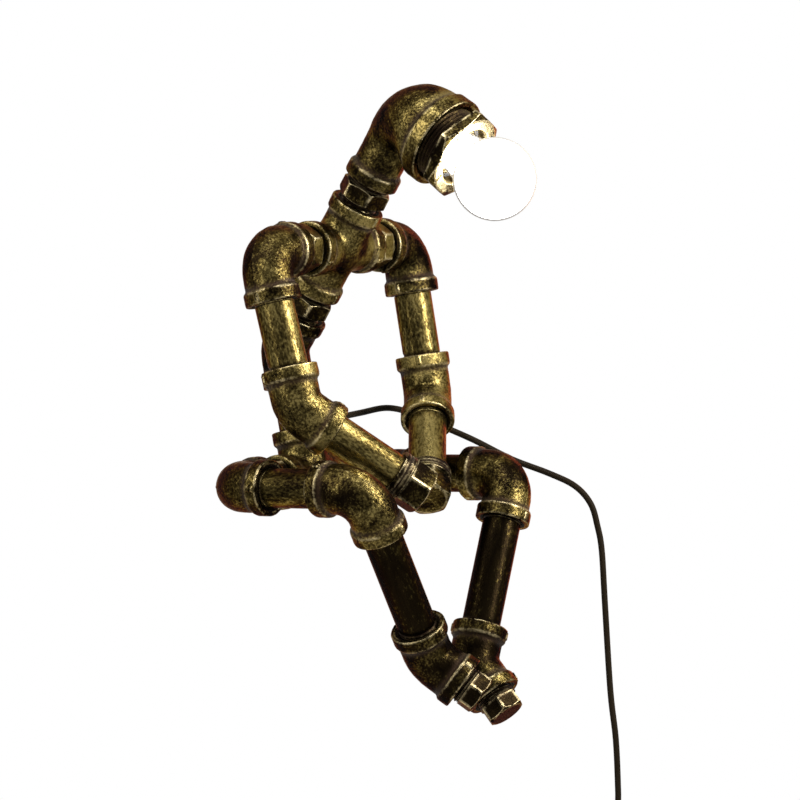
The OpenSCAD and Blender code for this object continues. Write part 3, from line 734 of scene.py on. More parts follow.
@dataclass(frozen=True)
class AntiqueMetal:
    """Black-brown paint dry-brushed with gold: the gold sits on the raised grain, thick in some patches
    and thin in others, and on the worn edges; the hollows get painted shade and a rougher, duller coat like
    dirt."""

    name: str
    grain: Grain = Grain.CAST
    dark: Colour = (0.0015, 0.0011, 0.0006)
    umber: Colour = (0.0056, 0.0038, 0.0016)
    olive: Colour = (0.036, 0.027, 0.008)
    gold: Colour = (0.165, 0.128, 0.044)
    pale: Colour = (0.32, 0.265, 0.15)
    gilding: float = 0.5
    grit: float = 0.00030

    def make(self) -> bpy.types.Material:
        """Builds the material: cover = patches + grain, cut by two soft steps into olive and gold."""
        n = Nodes(self.name)
        if self.grain is Grain.DRAWN:
            coords = n.add("Mapping", Vector=n.read("flow", "Vector"), Scale=(1, 1, 0.22)).outputs[0]
            dots = n.add("Mapping", Vector=n.read("flow", "Vector"), Scale=(1, 1, 0.5)).outputs[0]
        else:
            coords = dots = n.place()
        wear, hollow = n.read("wear"), n.read("hollow")
        broad = n.noise(coords, 38, 3, 0.5, 0.4)
        patches = n.noise(coords, 120, 5, 0.6, 0.5)
        grains = n.noise(dots, 760, 4, 0.6, 0.2)
        cover = n.math("ADD", n.math("MULTIPLY", broad, 0.95), n.math("MULTIPLY", patches, 0.55))
        cover = n.math("ADD", cover, n.math("MULTIPLY", grains, 0.9))
        # The piece's gild value adds gold and also paints light and shade: more on the upper body, less down
        # the legs.
        cover = n.math("ADD", cover, n.math("MULTIPLY", n.read("gold_and_painted_light"), 0.3))
        cut = 1.41 - 0.3 * self.gilding
        base = n.mix(n.level(patches, 0.35, 0.62), self.dark, self.umber)
        base = n.mix(n.level(cover, cut - 0.20, cut), base, self.olive)
        base = n.mix(n.level(cover, cut - 0.02, cut + 0.20), base, self.gold)
        raised = n.math("ADD", patches, n.math("MULTIPLY", grains, 0.5))
        rubbed = n.math("MULTIPLY", wear, n.level(raised, 0.6, 0.92, 0.08, 1.0))
        base = n.mix(n.level(rubbed, 0.2, 1.15), base, self.pale)
        # Painted shade: the hollows are darkened in the colour; the rougher, less metallic coat there is
        # dirt.
        dirt_and_shade = n.math("MULTIPLY", hollow, n.level(grains, 0.35, 0.65, 1.0, 0.75))
        base = n.mix(n.math("MULTIPLY", dirt_and_shade, 0.93), base, (0.007, 0.0045, 0.0035))
        rough = n.math("ADD", n.level(grains, 0.3, 0.7, 0.39, 0.25), n.math("MULTIPLY", dirt_and_shade, 0.35))
        metal = n.level(dirt_and_shade, 0.0, 1.0, 0.95, 0.4)
        under = n.bump(patches, self.grit * 1.5, 0.6)
        relief = n.bump(grains, self.grit, 0.85, under)
        shader = n.add("BsdfPrincipled", Base_Color=base, Metallic=metal, Roughness=rough, Normal=relief)
        shader.inputs["Specular Tint"].default_value = (0.45, 0.26, 0.13, 1)
        return n.finish(shader)


@dataclass(frozen=True)
class Moulded:
    """Dark moulded plastic or rubber with a fine grain and faint handling marks."""

    name: str
    colour: Colour
    rough: float = 0.42
    grain: float = 900.0
    depth: float = 0.00005
    sheath: bool = False
    gloss: float = 0.5

    def make(self) -> bpy.types.Material:
        """Builds the material; a sheath takes its faint lengthwise marks from the flow attribute."""
        n = Nodes(self.name)
        coords = n.read("flow", "Vector") if self.sheath else n.place()
        if self.sheath:
            coords = n.add("Mapping", Vector=coords, Scale=(1, 1, 0.12)).outputs[0]
        cloud = n.noise(coords, 60, 4)
        fine = n.noise(coords, self.grain, 4, 0.6)
        lighter = tuple(min(1.0, c * 1.7 + 0.001) for c in self.colour)
        base = n.mix(n.level(cloud, 0.35, 0.7), self.colour, lighter)
        dust = n.math("MULTIPLY", n.level(fine, 0.55, 0.75), 0.25)
        base = n.mix(dust, base, tuple(min(1.0, c * 2.5 + 0.003) for c in self.colour))
        rough = n.level(cloud, 0.3, 0.7, self.rough - 0.06, self.rough + 0.1)
        relief = n.bump(fine, self.depth, 0.6)
        shader = n.add("BsdfPrincipled", Base_Color=base, Roughness=rough, Normal=relief)
        shader.inputs["Specular IOR Level"].default_value = self.gloss
        return n.finish(shader)


@dataclass(frozen=True)
class Plated:
    """Bare or plated metal with fine scratches and slight tarnish."""

    name: str
    colour: Colour
    tarnish: Colour
    rough: float = 0.28

    def make(self) -> bpy.types.Material:
        """Builds the material."""
        n = Nodes(self.name)
        coords = n.place()
        cloud = n.noise(coords, 140, 5, 0.6)
        drawn = n.add("Mapping", Vector=coords, Scale=(1, 1, 0.08)).outputs[0]
        fine = n.noise(drawn, 1500, 3)
        base = n.mix(n.level(cloud, 0.42, 0.68), self.colour, self.tarnish)
        tarnished = n.level(cloud, 0.3, 0.7, self.rough, self.rough + 0.15)
        rough = n.math("ADD", tarnished, n.math("MULTIPLY", fine, 0.1))
        relief = n.bump(fine, 0.00003, 0.5)
        shader = n.add("BsdfPrincipled", Base_Color=base, Metallic=1.0, Roughness=rough, Normal=relief)
        return n.finish(shader)


@dataclass(frozen=True)
class LitGlass:
    """Frosted glass of the lit bulb: white light from within, and a thin dark line of painted shade where the
    glass is seen edge on."""

    name: str
    strength: float = 50.0

    def make(self) -> bpy.types.Material:
        """Builds the material."""
        n = Nodes(self.name)
        coords = n.place()
        frost = n.noise(coords, 900, 3)
        cloud = n.noise(coords, 40, 2)
        glow = n.mix(n.level(cloud, 0.3, 0.7), (1.0, 0.985, 0.95), (1.0, 1.0, 1.0))
        # Painted shade: the glow falls to a thin dark line where the glass is seen edge on.
        edge = n.level(n.add("LayerWeight", Blend=0.5).outputs["Facing"], 0.60, 0.70)
        glow = n.mix(edge, glow, (0.0050, 0.0048, 0.0046))
        relief = n.bump(frost, 0.00003, 0.4)
        rough = n.level(frost, 0.3, 0.7, 0.35, 0.5)
        shader = n.add(
            "BsdfPrincipled",
            Base_Color=(0.16, 0.157, 0.152, 1),
            Roughness=rough,
            Specular_IOR_Level=0.04,
            Normal=relief,
            Emission_Color=glow,
            Emission_Strength=self.strength,
        )
        return n.finish(shader)


class Finishes:
    """The lamp's materials, each made once."""

    def __init__(self) -> None:
        """Builds every material."""
        self.casting = AntiqueMetal("antique_casting", gilding=0.5).make()
        self.pipe = AntiqueMetal("antique_pipe", grain=Grain.DRAWN, gilding=0.7, grit=0.00012).make()
        self.nipple = AntiqueMetal("antique_nipple", gilding=0.3, grit=0.00014).make()
        self.holder = Moulded("holder_black", (0.012, 0.012, 0.012), 0.35).make()
        self.contact = Plated("contact_brass", (0.72, 0.53, 0.22), (0.35, 0.22, 0.08)).make()
        self.glass = LitGlass("bulb_glass").make()
        self.base = Plated("base_metal", (0.62, 0.58, 0.50), (0.38, 0.34, 0.28)).make()
        self.tip = Moulded("base_insulator", (0.010, 0.010, 0.011), 0.2).make()
        self.sheath = Moulded(
            "cord_sheath", (0.0075, 0.0055, 0.0032), grain=700, depth=0.00004, sheath=True, gloss=0.02
        ).make()
        self.outlet = Moulded("outlet_rubber", (0.008, 0.007, 0.006), 0.5, gloss=0.2).make()
        self.moulded = Moulded("moulded_black", (0.009, 0.0085, 0.008), 0.36, gloss=0.25).make()
        self.rocker = Moulded("rocker_black", (0.018, 0.017, 0.016), 0.28, gloss=0.3).make()
        self.screw = Plated("screw_steel", (0.55, 0.54, 0.52), (0.30, 0.29, 0.27)).make()
        self.blade = Plated("blade_metal", (0.74, 0.72, 0.66), (0.50, 0.47, 0.40), 0.2).make()


def dress(
    piece: bpy.types.Object, material: bpy.types.Material, body: str, *nodes: str, gold_and_painted_light: float = 0.0
) -> bpy.types.Object:
    """Gives a new piece its material, body and the nodes it stands for.

    Args:
        piece: The new piece, in place.
        material: Its finish.
        body: The CAD body it rides on.
        *nodes: The CAD nodes it replaces.
        gold_and_painted_light: How much more gold than the finish has by itself; below 0 for less. It also
            paints light and shade, higher up the body and lower down the legs.

    Returns:
        The piece.
    """
    # The gild value is painted light and shade as well as gold: higher on the upper body, lower down the
    # legs.
    gilding = piece.data.attributes.new("gold_and_painted_light", "FLOAT", "POINT")
    gilding.data.foreach_set("value", np.full(len(piece.data.vertices), gold_and_painted_light, np.float32))
    piece.data.materials.append(material)
    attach(piece, body)
    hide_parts(*nodes)
    LOG.info("%s: %d faces on %s", piece.name, len(piece.data.polygons), body)
    return piece


def fit(
    grid: Grid,
    place: Array | None,
    name: str,
    material: bpy.types.Material,
    body: str,
    *nodes: str,
    crease: float = 38.0,
    gold_and_painted_light: float = 0.0,
) -> bpy.types.Object:
    """Builds one surface as a piece and dresses it.

    Args:
        grid: The surface.
        place: Its placement in millimetres; none leaves it where it is.
        name: The piece's name.
        material: Its finish.
        body: The CAD body it rides on.
        *nodes: The CAD nodes it replaces.
        crease: Angle between faces above which an edge stays sharp, in degrees.
        gold_and_painted_light: How much more gold than the finish has by itself; below 0 for less. It also
            paints light and shade, higher up the body and lower down the legs.

    Returns:
        The piece.
    """
    return dress(Skin().add(grid, place).build(name, crease), material, body, *nodes, gold_and_painted_light=gold_and_painted_light)


def repaint(material: bpy.types.Material, *names: str) -> None:
    """Gives CAD nodes that are kept a procedural material.

    Args:
        material: Their finish.
        *names: The nodes' names.
    """
    for name in names:
        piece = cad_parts[name]
        piece.data.materials.clear()
        piece.data.materials.append(material)
        LOG.info("%s: kept, %s", name, material.name)


# ---------- castings ----------


def port_corners(sizes: Sizes, at: float, way: int, body_r: float) -> list[Corner]:
    """Band of a port, from its face inwards.

    Args:
        sizes: The lamp's sizes.
        at: Place of the port's face along the centre line.
        way: 1 where the fitting lies at larger places, -1 where it lies at smaller ones.
        body_r: Radius of the body behind the band.

    Returns:
        Corners in that order.
    """
    s = sizes
    return [
        Corner(at, s.band_r, 1.1, step=0.7),
        Corner(at + way * s.band_len, s.band_r, 1.0, step=0.7),
        Corner(at + way * (s.band_len + 1.5), body_r, 1.4, step=1.0),
    ]


def socket_corners(sizes: Sizes, at: float, way: int, way_r: float) -> list[Corner]:
    """Countersunk mouth and socket of a port, from the waterway out to its face."""
    s = sizes
    return [
        Corner(at + way * (s.socket_deep + 1), way_r, step=6),
        Corner(at + way * s.socket_deep, s.socket_r, step=6),
        Corner(at + way * s.mouth_deep, s.socket_r, 0.3, step=0.8),
        Corner(at, s.mouth_r, 0.7, step=0.5),
    ]


def parting(sizes: Sizes, ends: Sequence[tuple[float, int]], crown: float = 0.28) -> Relief:
    """Relief of a casting's parting line at angles 0 and pi, and of the rib that crosses each band.

    Height = crown * exp(-(d / 0.55)^2) with d the distance from the line round the surface, and over a
    band the rib's own height times a smooth step at its sides and ends.

    Args:
        sizes: The lamp's sizes.
        ends: Ports, as (place of the face, way the fitting lies).
        crown: Height of the line.

    Returns:
        A relief for `swept`.
    """

    def relief(s: Array, v: Array) -> tuple[Array, Array]:
        """Height and wear at each place and angle."""
        line = np.abs(np.sin(v)) * sizes.body_r
        up = crown * np.exp(-((line / 0.55) ** 2)) * np.ones_like(s)
        shine = 0.32 * np.exp(-((line / 0.9) ** 2)) * np.ones_like(s)
        lo, hi = min(e for e, _ in ends), max(e for e, _ in ends)
        up = up * (s > lo + 0.2) * ((s < hi - 0.2) if hi > lo else 1)
        flank = np.abs(np.sin(v)) * sizes.band_r
        for face, way in ends:
            depth = (s - face) * way
            over = np.clip((depth - 0.9) / 0.7, 0, 1) * np.clip((sizes.band_len - 0.9 - depth) / 0.7, 0, 1)
            rib = over * np.clip((sizes.rib_w / 2 + 0.35 - flank) / 0.7, 0, 1)
            up = np.where(over > 0, sizes.rib_up * rib, up)
            edge = over * np.exp(-(((flank - sizes.rib_w / 2) / 0.5) ** 2))
            shine = np.where(over > 0, np.maximum(edge, 0.6 * rib), shine)
        return up, shine

    return relief


def outer_only(relief: Relief, on: Array) -> Relief:
    """Keeps a relief to the rows that are on, so that bores and rims stay plain."""

    def masked(s: Array, v: Array) -> tuple[Array, Array]:
        """The relief where the row is on, else nothing."""
        up, shine = relief(s, v)
        return up * on[:, None], shine * on[:, None]

    return masked


@dataclass(frozen=True)
class Elbow:
    """A cast elbow with two banded, countersunk ports."""

    sizes: Sizes
    reach: float
    degrees: float

    def grid(self, seed: int) -> Grid:
        """The elbow's surface, its first port along -Z and the other turned from +Z towards +X."""
        s = self.sizes
        back = s.bend_r * math.tan(math.radians(self.degrees) / 2)
        whole = 2 * (self.reach - back) + s.bend_r * math.radians(self.degrees)
        outside = port_corners(s, 0, 1, s.body_r) + port_corners(s, whole, -1, s.body_r)[::-1]
        inside = socket_corners(s, whole, -1, s.way_r)[::-1] + socket_corners(s, 0, 1, s.way_r)
        rows = rounded(outside + inside)
        # The socket and waterway inside are marked fully hollow: painted shade in the bore.
        recess = rows.radius < s.mouth_r - 0.25
        rows.wear[recess], rows.hollow[recess] = 0.0, 1.0
        relief = outer_only(parting(s, [(0, 1), (whole, -1)]), rows.radius >= s.body_r - 0.4)
        return swept(rows, ribbed(), bent(self.reach, self.degrees, s.bend_r), relief, rough=0.10, seed=seed)


@dataclass(frozen=True)
class Branch:
    """A cast tee or cross: arms turned about Y by the listed angles, each blended into its neighbours."""

    sizes: Sizes
    arms: tuple[int, ...]
    fillet: float = 3.4

    def _blended(self, spots: Array, radius: float, fillet: float) -> Array:
        """Signed distance from the joined tubes; two tubes blend over `fillet` with a quadratic."""
        x, y, z = spots[..., 0], spots[..., 1], spots[..., 2]
        across = np.hypot(y, z) - radius
        up = np.hypot(x, y) - radius
        if 180 not in self.arms:
            up = up + 1.5 * np.maximum(0, -z)
        if fillet <= 0:
            return np.minimum(across, up)
        h = np.clip(0.5 + 0.5 * (up - across) / fillet, 0, 1)
        return up + (across - up) * h - fillet * h * (1 - h)

    def _radius(
        self, along: Array, angles: Array, place: Array, radius: float, fillet: float, mitre: Array | None
    ) -> Array:
        """Radius of the blended surface, found by halving along each ray from the arm's axis.

        Args:
            along: Places along the arm; not used on the mitre.
            angles: Angles round the arm.
            place: The arm's turn.
            radius: Radius of the tubes.
            fillet: Reach of the blend between them.
            mitre: Place along the arm for each unit of radius, on the mitre; none elsewhere.

        Returns:
            Radii of the same shape.
        """
        low = np.full(along.shape, radius * 0.8)
        high = np.full(along.shape, radius * 1.7)
        for _ in range(26):
            mid = (low + high) / 2
            s = along if mitre is None else mid * mitre
            spots = np.stack([mid * np.cos(angles), mid * np.sin(angles), s], -1) @ place[:3, :3].T
            inside = self._blended(spots, radius, fillet) < 0
            low, high = np.where(inside, mid, low), np.where(inside, high, mid)
        return (low + high) / 2

    def _from_face(self, corners: Sequence[Corner]) -> list[Corner]:
        """Corners given from a port's face inwards, as places along the arm."""
        reach = self.sizes.reach_90
        return [Corner(reach - c.along, c.radius, c.ease, step=c.step) for c in corners]

    def _bore(self, place: Array, angles: Array, mitre: Array) -> Grid:
        """Waterway and socket of one arm, from the mitre out."""
        s = self.sizes
        first = self._radius(0 * angles, angles, place, s.way_r, 0.0, mitre) * mitre
        last = s.reach_90 - s.socket_deep - 1
        mouth = self._from_face(socket_corners(s, 0, 1, s.way_r)[1:])
        rows = rounded([Corner(last, s.way_r, step=6), *mouth], closed=False)
        lead = first[None] + (last - first[None]) * np.linspace(0, 1, BORE_ROWS)[:-1, None]
        along = np.concatenate([lead, rows.along[:, None] + 0 * angles])
        r = np.concatenate([np.full(lead.shape, s.way_r), rows.radius[:, None] + 0 * angles])
        wear = np.concatenate([np.zeros(len(lead)), rows.wear])[:, None] + 0 * angles
        points = np.stack([r * np.cos(angles), r * np.sin(angles), along], -1)
        # The whole bore is marked hollow: painted shade.
        return Grid(points, wear, np.ones_like(wear), points, wrap_rows=False)

    def _outside(self, place: Array, angles: Array, mitre: Array, seed: int) -> Grid:
        """Outside of one arm, from the mitre to the port's face, with its ribs and lumps."""
        s = self.sizes
        first_r = self._radius(0 * angles, angles, place, s.body_r, self.fillet, mitre)
        first = first_r * mitre
        last = s.reach_90 - s.band_len - 3.2
        lead = first[None] + (last - first[None]) * np.linspace(0, 1, BLEND_ROWS)[:, None]
        turned = np.broadcast_to(angles, lead.shape)
        lead_r = self._radius(lead[1:], turned[1:], place, s.body_r, self.fillet, None)
        band = self._from_face(port_corners(s, 0, 1, s.body_r)[::-1])
        rows = rounded([Corner(last, s.body_r, step=0.8), *band, Corner(s.reach_90, s.mouth_r)], closed=False)
        settle = np.exp(-np.maximum(rows.along - last, 0) / 1.2)[:, None] * (lead_r[-1] - s.body_r)
        band_r = rows.radius[:, None] + settle * (rows.radius[:, None] < s.body_r + 0.5)
        along = np.concatenate([lead[:-1], rows.along[:, None] + 0 * angles])
        r = np.concatenate([first_r[None], lead_r[:-1], band_r])
        none = np.zeros(BLEND_ROWS - 1)
        wear = np.concatenate([none, rows.wear])[:, None] + 0 * angles
        hollow = np.concatenate([none, rows.hollow])[:, None] + 0 * angles
        up, shine = parting(s, [(s.reach_90, -1)])(along, angles[None] - math.pi / 2)
        shown = (r > s.body_r - 0.4) * np.clip((along - first[None]) / 3.0, 0, 1)
        r, wear = r + up * shown, np.maximum(wear, shine * shown)
        flow = np.stack([r * np.cos(angles), r * np.sin(angles), along], -1)
        edge = np.clip((s.reach_90 - along) / 1.0, 0, 1) * np.clip((along - first[None]) / 4.0, 0, 1)
        height = 0.10 * lumps(flow @ place[:3, :3].T, seed) * edge
        ray = np.stack([np.cos(angles), np.sin(angles), 0 * angles], -1)
        return Grid(flow + height[..., None] * ray, wear, hollow, flow, wrap_rows=False)

    def _arm(self, degrees: int, seed: int) -> list[Grid]:
        """Outside and bore of one arm, which meet the next arms' on the mitre between them."""
        place = turn(1, degrees)
        angles = ribbed() + math.pi / 2
        beside = np.cos(angles)
        joined = {a % 360 for a in self.arms}
        toward_x = (degrees + 90) % 360 in joined
        toward_back = (degrees - 90) % 360 in joined
        mitre = np.where(beside > 0, beside * toward_x, -beside * toward_back)
        mitre = np.where(np.abs(mitre) < 1e-9, 0, mitre)
        return [self._outside(place, angles, mitre, seed), self._bore(place, angles, mitre)]

    def add_to(self, skin: Skin, place: Array, seed: int) -> None:
        """Adds every arm to a skin."""
        for degrees in self.arms:
            for grid in self._arm(degrees, seed):
                skin.add(grid, place @ turn(1, degrees))


@dataclass(frozen=True)
class Pipe:
    """A length of pipe along +Z with chamfered ends and the last turns of its threads showing."""

    sizes: Sizes
    length: float
    far_threads: bool = True

    def grid(self) -> Grid:
        """The pipe's surface."""
        s = self.sizes
        cut, show = 0.6, 0.9
        far = cut if self.far_threads else 0.0
        corners = [
            Corner(0, s.pipe_r - 0.8, 0.2, step=2),
            Corner(0.8, s.pipe_r, 0.2, step=4),
            Corner(s.engaged - 1.5, s.pipe_r, thread=cut, step=0.28),
            Corner(s.engaged + show, s.pipe_r, step=1.6),
            Corner(self.length - s.engaged - show, s.pipe_r, thread=far, step=0.28),
            Corner(self.length - s.engaged + 1.5, s.pipe_r, step=4),
            Corner(self.length - 0.8, s.pipe_r, 0.2, step=2),
            Corner(self.length, s.pipe_r - 0.8, 0.2, step=2),
            Corner(self.length, s.bore_r, step=8),
            Corner(0, s.bore_r, step=2),
        ]
        return swept(rounded(corners), even(72), rough=0.03, seed=int(self.length))


@dataclass(frozen=True)
class HexNipple:
    """A nipple along +Z with a hexagon in the middle and its threads showing at both sides."""

    sizes: Sizes

    def grid(self) -> Grid:
        """The nipple's surface, z = 0 at the first fitting's face."""
        s = self.sizes
        half, top, drop = bevelled(s.nipple_af)
        low = (s.nipple_gap - s.nipple_hex) / 2
        high = s.nipple_gap - low
        core = s.pipe_r - 0.2
        corners = [
            Corner(-s.engaged, s.pipe_r - 1.5, step=2),
            Corner(-s.engaged + 1, s.pipe_r - 0.1, step=3),
            Corner(-1.5, s.pipe_r, thread=1.0, step=0.25),
            Corner(low - 0.5, core, thread=0.3, step=0.25),
            Corner(low, core, 0.2, step=0.5),
            Corner(low, half - HEX_EDGE, 0.1, half, step=0.35),
            Corner(low + drop, top, 0.0, half, step=1.0),
            Corner(high - drop, top, 0.0, half, step=0.35),
            Corner(high, half - HEX_EDGE, 0.1, half, step=0.5),
            Corner(high, core, 0.2, thread=0.3, step=0.25),
            Corner(high + 0.5, s.pipe_r, thread=1.0, step=0.25),
            Corner(s.nipple_gap + 1.5, s.pipe_r, step=3),
            Corner(s.nipple_gap + s.engaged - 1, s.pipe_r - 0.1, step=2),
            Corner(s.nipple_gap + s.engaged, s.pipe_r - 1.5, step=2),
            Corner(s.nipple_gap + s.engaged, s.bore_r - 0.5, step=8),
            Corner(-s.engaged, s.bore_r - 0.5, step=3),
        ]
        return swept(rounded(corners), even(96), rough=0.05, seed=5)


# ---------- sub-assemblies ----------


@dataclass
class Spine:
    """Pelvis tee, waist, chest cross and the nipples between them."""

    finishes: Finishes
    sizes: Sizes = S

    def build(self) -> None:
        """Builds and dresses the pieces."""
        # The gild values below add gold and paint light and shade: the tee, cross and shoulder nipples
        # lighter, the waist elbow and other nipples darker.
        s, f, st = self.sizes, self.finishes, STANCE
        tee = Skin()
        Branch(s, (90, -90, 0)).add_to(tee, st.spine, 11)
        dress(tee.build("pelvis_tee_cast"), f.casting, "torso", "pelvis_tee", gold_and_painted_light=0.2)
        cross = Skin()
        Branch(s, (0, 90, 180, -90)).add_to(cross, st.chest, 12)
        dress(cross.build("chest_cross_cast"), f.casting, "torso", "chest_cross", gold_and_painted_light=0.2)
        elbow = Elbow(s, s.reach_45, s.waist_bend).grid(13)
        spot = st.waist @ turn(2, -90)
        fit(elbow, spot, "waist_elbow_cast", f.casting, "torso", "waist_elbow", gold_and_painted_light=-0.6)
        pipe = Pipe(s, s.lower_spine - s.reach_90 - s.reach_45 + 2 * s.engaged).grid()
        spot = st.spine @ shift(0, 0, s.reach_90 - s.engaged)
        fit(pipe, spot, "waist_pipe_turned", f.pipe, "torso", "waist_pipe")
        spots = {
            "spine_nipple": st.torso @ shift(0, 0, s.reach_45),
            "neck_nipple": st.chest @ shift(0, 0, s.reach_90),
        }
        for side in Side:
            port = turn(1, side.value * 90) @ shift(0, 0, s.reach_90)
            spots[f"{side.word}_shoulder_nipple"] = st.chest @ port
            spots[f"{side.word}_hip_nipple"] = st.pelvis @ turn(1, side.value * 90) @ shift(0, 0, s.reach_90)
        nipple = HexNipple(s).grid()
        turned = {"spine_nipple": s.spine_hex_turn, "neck_nipple": s.neck_hex_turn}
        for name, spot in spots.items():
            place = spot @ turn(2, 30 + turned.get(name, 0.0))
            gold_and_painted_light = 0.6 if "shoulder" in name else -0.25
            fit(nipple, place, name + "_hex", f.nipple, "torso", name, crease=30, gold_and_painted_light=gold_and_painted_light)


@dataclass
class Head:
    """Head elbow, bushing, lamp holder and bulb."""

    finishes: Finishes
    sizes: Sizes = S

    def _outside(self) -> Grid:
        """Neck port, a bend that widens as 0.5 - 0.5 cos(pi u^0.8), the banded rim and the mouth's socket."""
        s = self.sizes
        whole = s.head_bend_r * math.pi / 2
        lead = s.head_neck_reach - s.head_bend_r
        rim = lead + whole + s.head_rim_reach - s.head_bend_r
        u = np.linspace(0, 1, 30)
        wide = s.body_r + (s.head_shell_r - s.body_r) * (0.5 - 0.5 * np.cos(math.pi * u**0.8))
        widen = [Corner(lead + whole * share, radius, step=0.9) for share, radius in zip(u, wide)]
        rows = rounded([
            Corner(0, s.mouth_r, step=0.5),
            *port_corners(s, 0, 1, s.body_r),
            *widen,
            Corner(rim - s.head_rim_len - 1.6, s.head_shell_r, 1.5, step=0.7),
            Corner(rim - s.head_rim_len, s.head_rim_r, 1.0, step=0.7),
            Corner(rim, s.head_rim_r, 1.2, step=0.5),
            Corner(rim, s.thread_r + 2.0, 0.5, step=0.5),
            Corner(rim - 2.2, s.thread_r + 0.1, 0.2, step=2),
            Corner(rim - 14, s.thread_r + 0.1, step=4),
        ], closed=False)
        ribbed_rows = (rows.radius > s.body_r - 0.4) & (rows.along < rim - s.head_rim_len - 1)
        relief = outer_only(parting(s, [(0, 1)], 0.3), ribbed_rows)
        inner = (rows.radius < s.thread_r + 2.5) & (rows.along > rim - 15)
        rough = np.where(inner | (rows.along < 0.4), 0.0, 0.13)
        line = bent(s.head_neck_reach, 90, s.head_bend_r)
        return swept(rows, ribbed(), line, relief, rough=rough, seed=21, closed=False)

    def _bore(self) -> Grid:
        """Cavity behind the rim, which narrows to the waterway and mitres into the neck's port."""
        s = self.sizes
        ahead = np.array([s.head_rim_reach - 14, 18.0, 9.1, 9.1, 8.6])[:, None]
        ahead_r = np.array([s.thread_r + 0.1, s.cavity_r, s.cavity_r, s.way_r, s.way_r])[:, None]
        up = s.head_neck_reach - np.array([s.socket_deep + 1, s.socket_deep, s.mouth_deep, 0.0])
        down = -np.append(8.6, up)[:, None]
        down_r = np.array([s.way_r, s.way_r, s.socket_r, s.socket_r, s.mouth_r])[:, None]
        c, n = np.cos(ribbed())[None], np.sin(ribbed())[None]
        mouth = np.stack([ahead + 0 * c, ahead_r * n, -ahead_r * c], -1)
        mitre = np.stack([s.way_r * c, s.way_r * n, -s.way_r * c], -1)
        neck = np.stack([down_r * c, down_r * n, down + 0 * c], -1)
        points = np.concatenate([mouth, mitre, neck])
        shade = np.full(points.shape[:2], 0.8)
        return Grid(points, 0 * shade, shade, points, wrap_rows=False)

    def _throat(self) -> Grid:
        """Collar round the cavity, the wall of the throat under the mouth, along the mouth's axis."""
        s = self.sizes
        inner, wall = s.cavity_r + 0.15, s.cavity_r + s.throat_wall
        return swept(rounded([
            Corner(9.6, inner),
            Corner(9.6, wall, 0.4, step=0.8),
            Corner(14, wall, 2.0, step=0.8),
            Corner(16.5, wall + 2.0, 1.2, step=0.8),
            Corner(19.5, 24.0, step=0.8),
            Corner(19.5, inner, step=3),
        ]), even(120), rough=0.12, seed=22)

    def shell(self) -> Skin:
        """The head's casting: its outside, its bore and the wall of its throat."""
        place = STANCE.head @ turn(2, -90)
        return Skin().add(self._outside(), place).add(self._bore(), place).add(self._throat(), STANCE.mouth)

    def bushing(self) -> Grid:
        """The bushing: threads behind a turned hexagon, and the bore that holds the lamp."""
        s = self.sizes
        back, front = s.hex_back, s.hex_back + s.hex_len
        half, top, drop = bevelled(s.hex_af)
        root = s.thread_r - 0.3
        corners = [
            Corner(back - s.thread_len, s.thread_r - 1.2, 0.2, step=2),
            Corner(back - s.thread_len + 1, s.thread_r - 0.2, step=3),
            Corner(s.head_rim_reach - 2.5, s.thread_r, thread=1.25, step=0.28),
            Corner(back - 1.0, root, thread=0.4, step=0.28),
            Corner(back, root, 0.4, step=0.6),
            Corner(back, half + 0.2, 0.5, half, step=0.5),
            Corner(back + 0.6, top, 0.3, half, step=1.0),
            Corner(front - drop, top, 0.0, half, step=0.35),
            Corner(front, half - HEX_EDGE, 0.2, half, step=1.0),
            Corner(front, 17.6, 0.4, step=0.6),
            Corner(front - 1.1, 16.45, 0.2, step=3),
            Corner(back - s.thread_len, 16.45, step=2),
        ]
        rows = rounded(corners)
        # The hexagon's front face is painted pale all over and kept clear of shade: painted light of the
        # glowing bulb on it.
        face = (rows.along > front - 0.6) & (rows.radius < half)
        rows.wear[face], rows.hollow[face] = 3.0, 0.0
        grid = swept(rows, even(120), pitch=BUSHING_PITCH, rough=0.05, seed=6)
        # The threads behind the hexagon wear little and are marked hollow, which paints shade on them.
        threads = rows.along < back - 0.2
        grid.wear[threads] *= 0.15
        grid.hollow[threads] = np.maximum(grid.hollow[threads], 0.75)
        return grid

    def globe(self) -> Grid:
        """The bulb's glass: a sphere that flows into a neck, with its wall."""
        s = self.sizes
        meet = math.radians(38)
        neck_r = s.base_r - 1.2
        front = s.hex_back + s.hex_len - 4.5
        around = np.linspace(math.pi - meet, 0, 60)
        wall = 0.9
        hollow_r = s.globe_r - wall
        outer = [Corner(s.globe_at + s.globe_r * math.cos(a), s.globe_r * math.sin(a)) for a in around]
        inner = [
            Corner(s.globe_at + hollow_r * math.cos(a), hollow_r * math.sin(a), step=3)
            for a in around[::-3]
        ]
        corners = [Corner(front - 6, neck_r, 0.2, step=2), Corner(front + 0.6, neck_r, 2.2, step=0.6)]
        corners += outer + inner
        corners += [Corner(front + 0.6, neck_r - wall, 1.0), Corner(front - 6, neck_r - wall, step=2)]
        return swept(rounded(corners), even(96))

    def build(self) -> None:
        """Builds and dresses the pieces."""
        f, st = self.finishes, STANCE
        # The gild values below add gold and paint light on the head and its bushing.
        dress(self.shell().build("head_elbow_cast"), f.casting, "head", "head_elbow", gold_and_painted_light=0.1)
        spot = st.mouth @ turn(2, self.sizes.hex_turn)
        fit(self.bushing(), spot, "head_bushing_hex", f.nipple, "head", "head_bushing", crease=30, gold_and_painted_light=0.15)
        fit(self.globe(), st.mouth, "bulb_globe", f.glass, "bulb", "bulb_glass", crease=60)
        repaint(f.holder, "lamp_socket")
        repaint(f.contact, "socket_shell", "socket_contact")
        repaint(f.base, "bulb_base")
        repaint(f.tip, "bulb_tip")


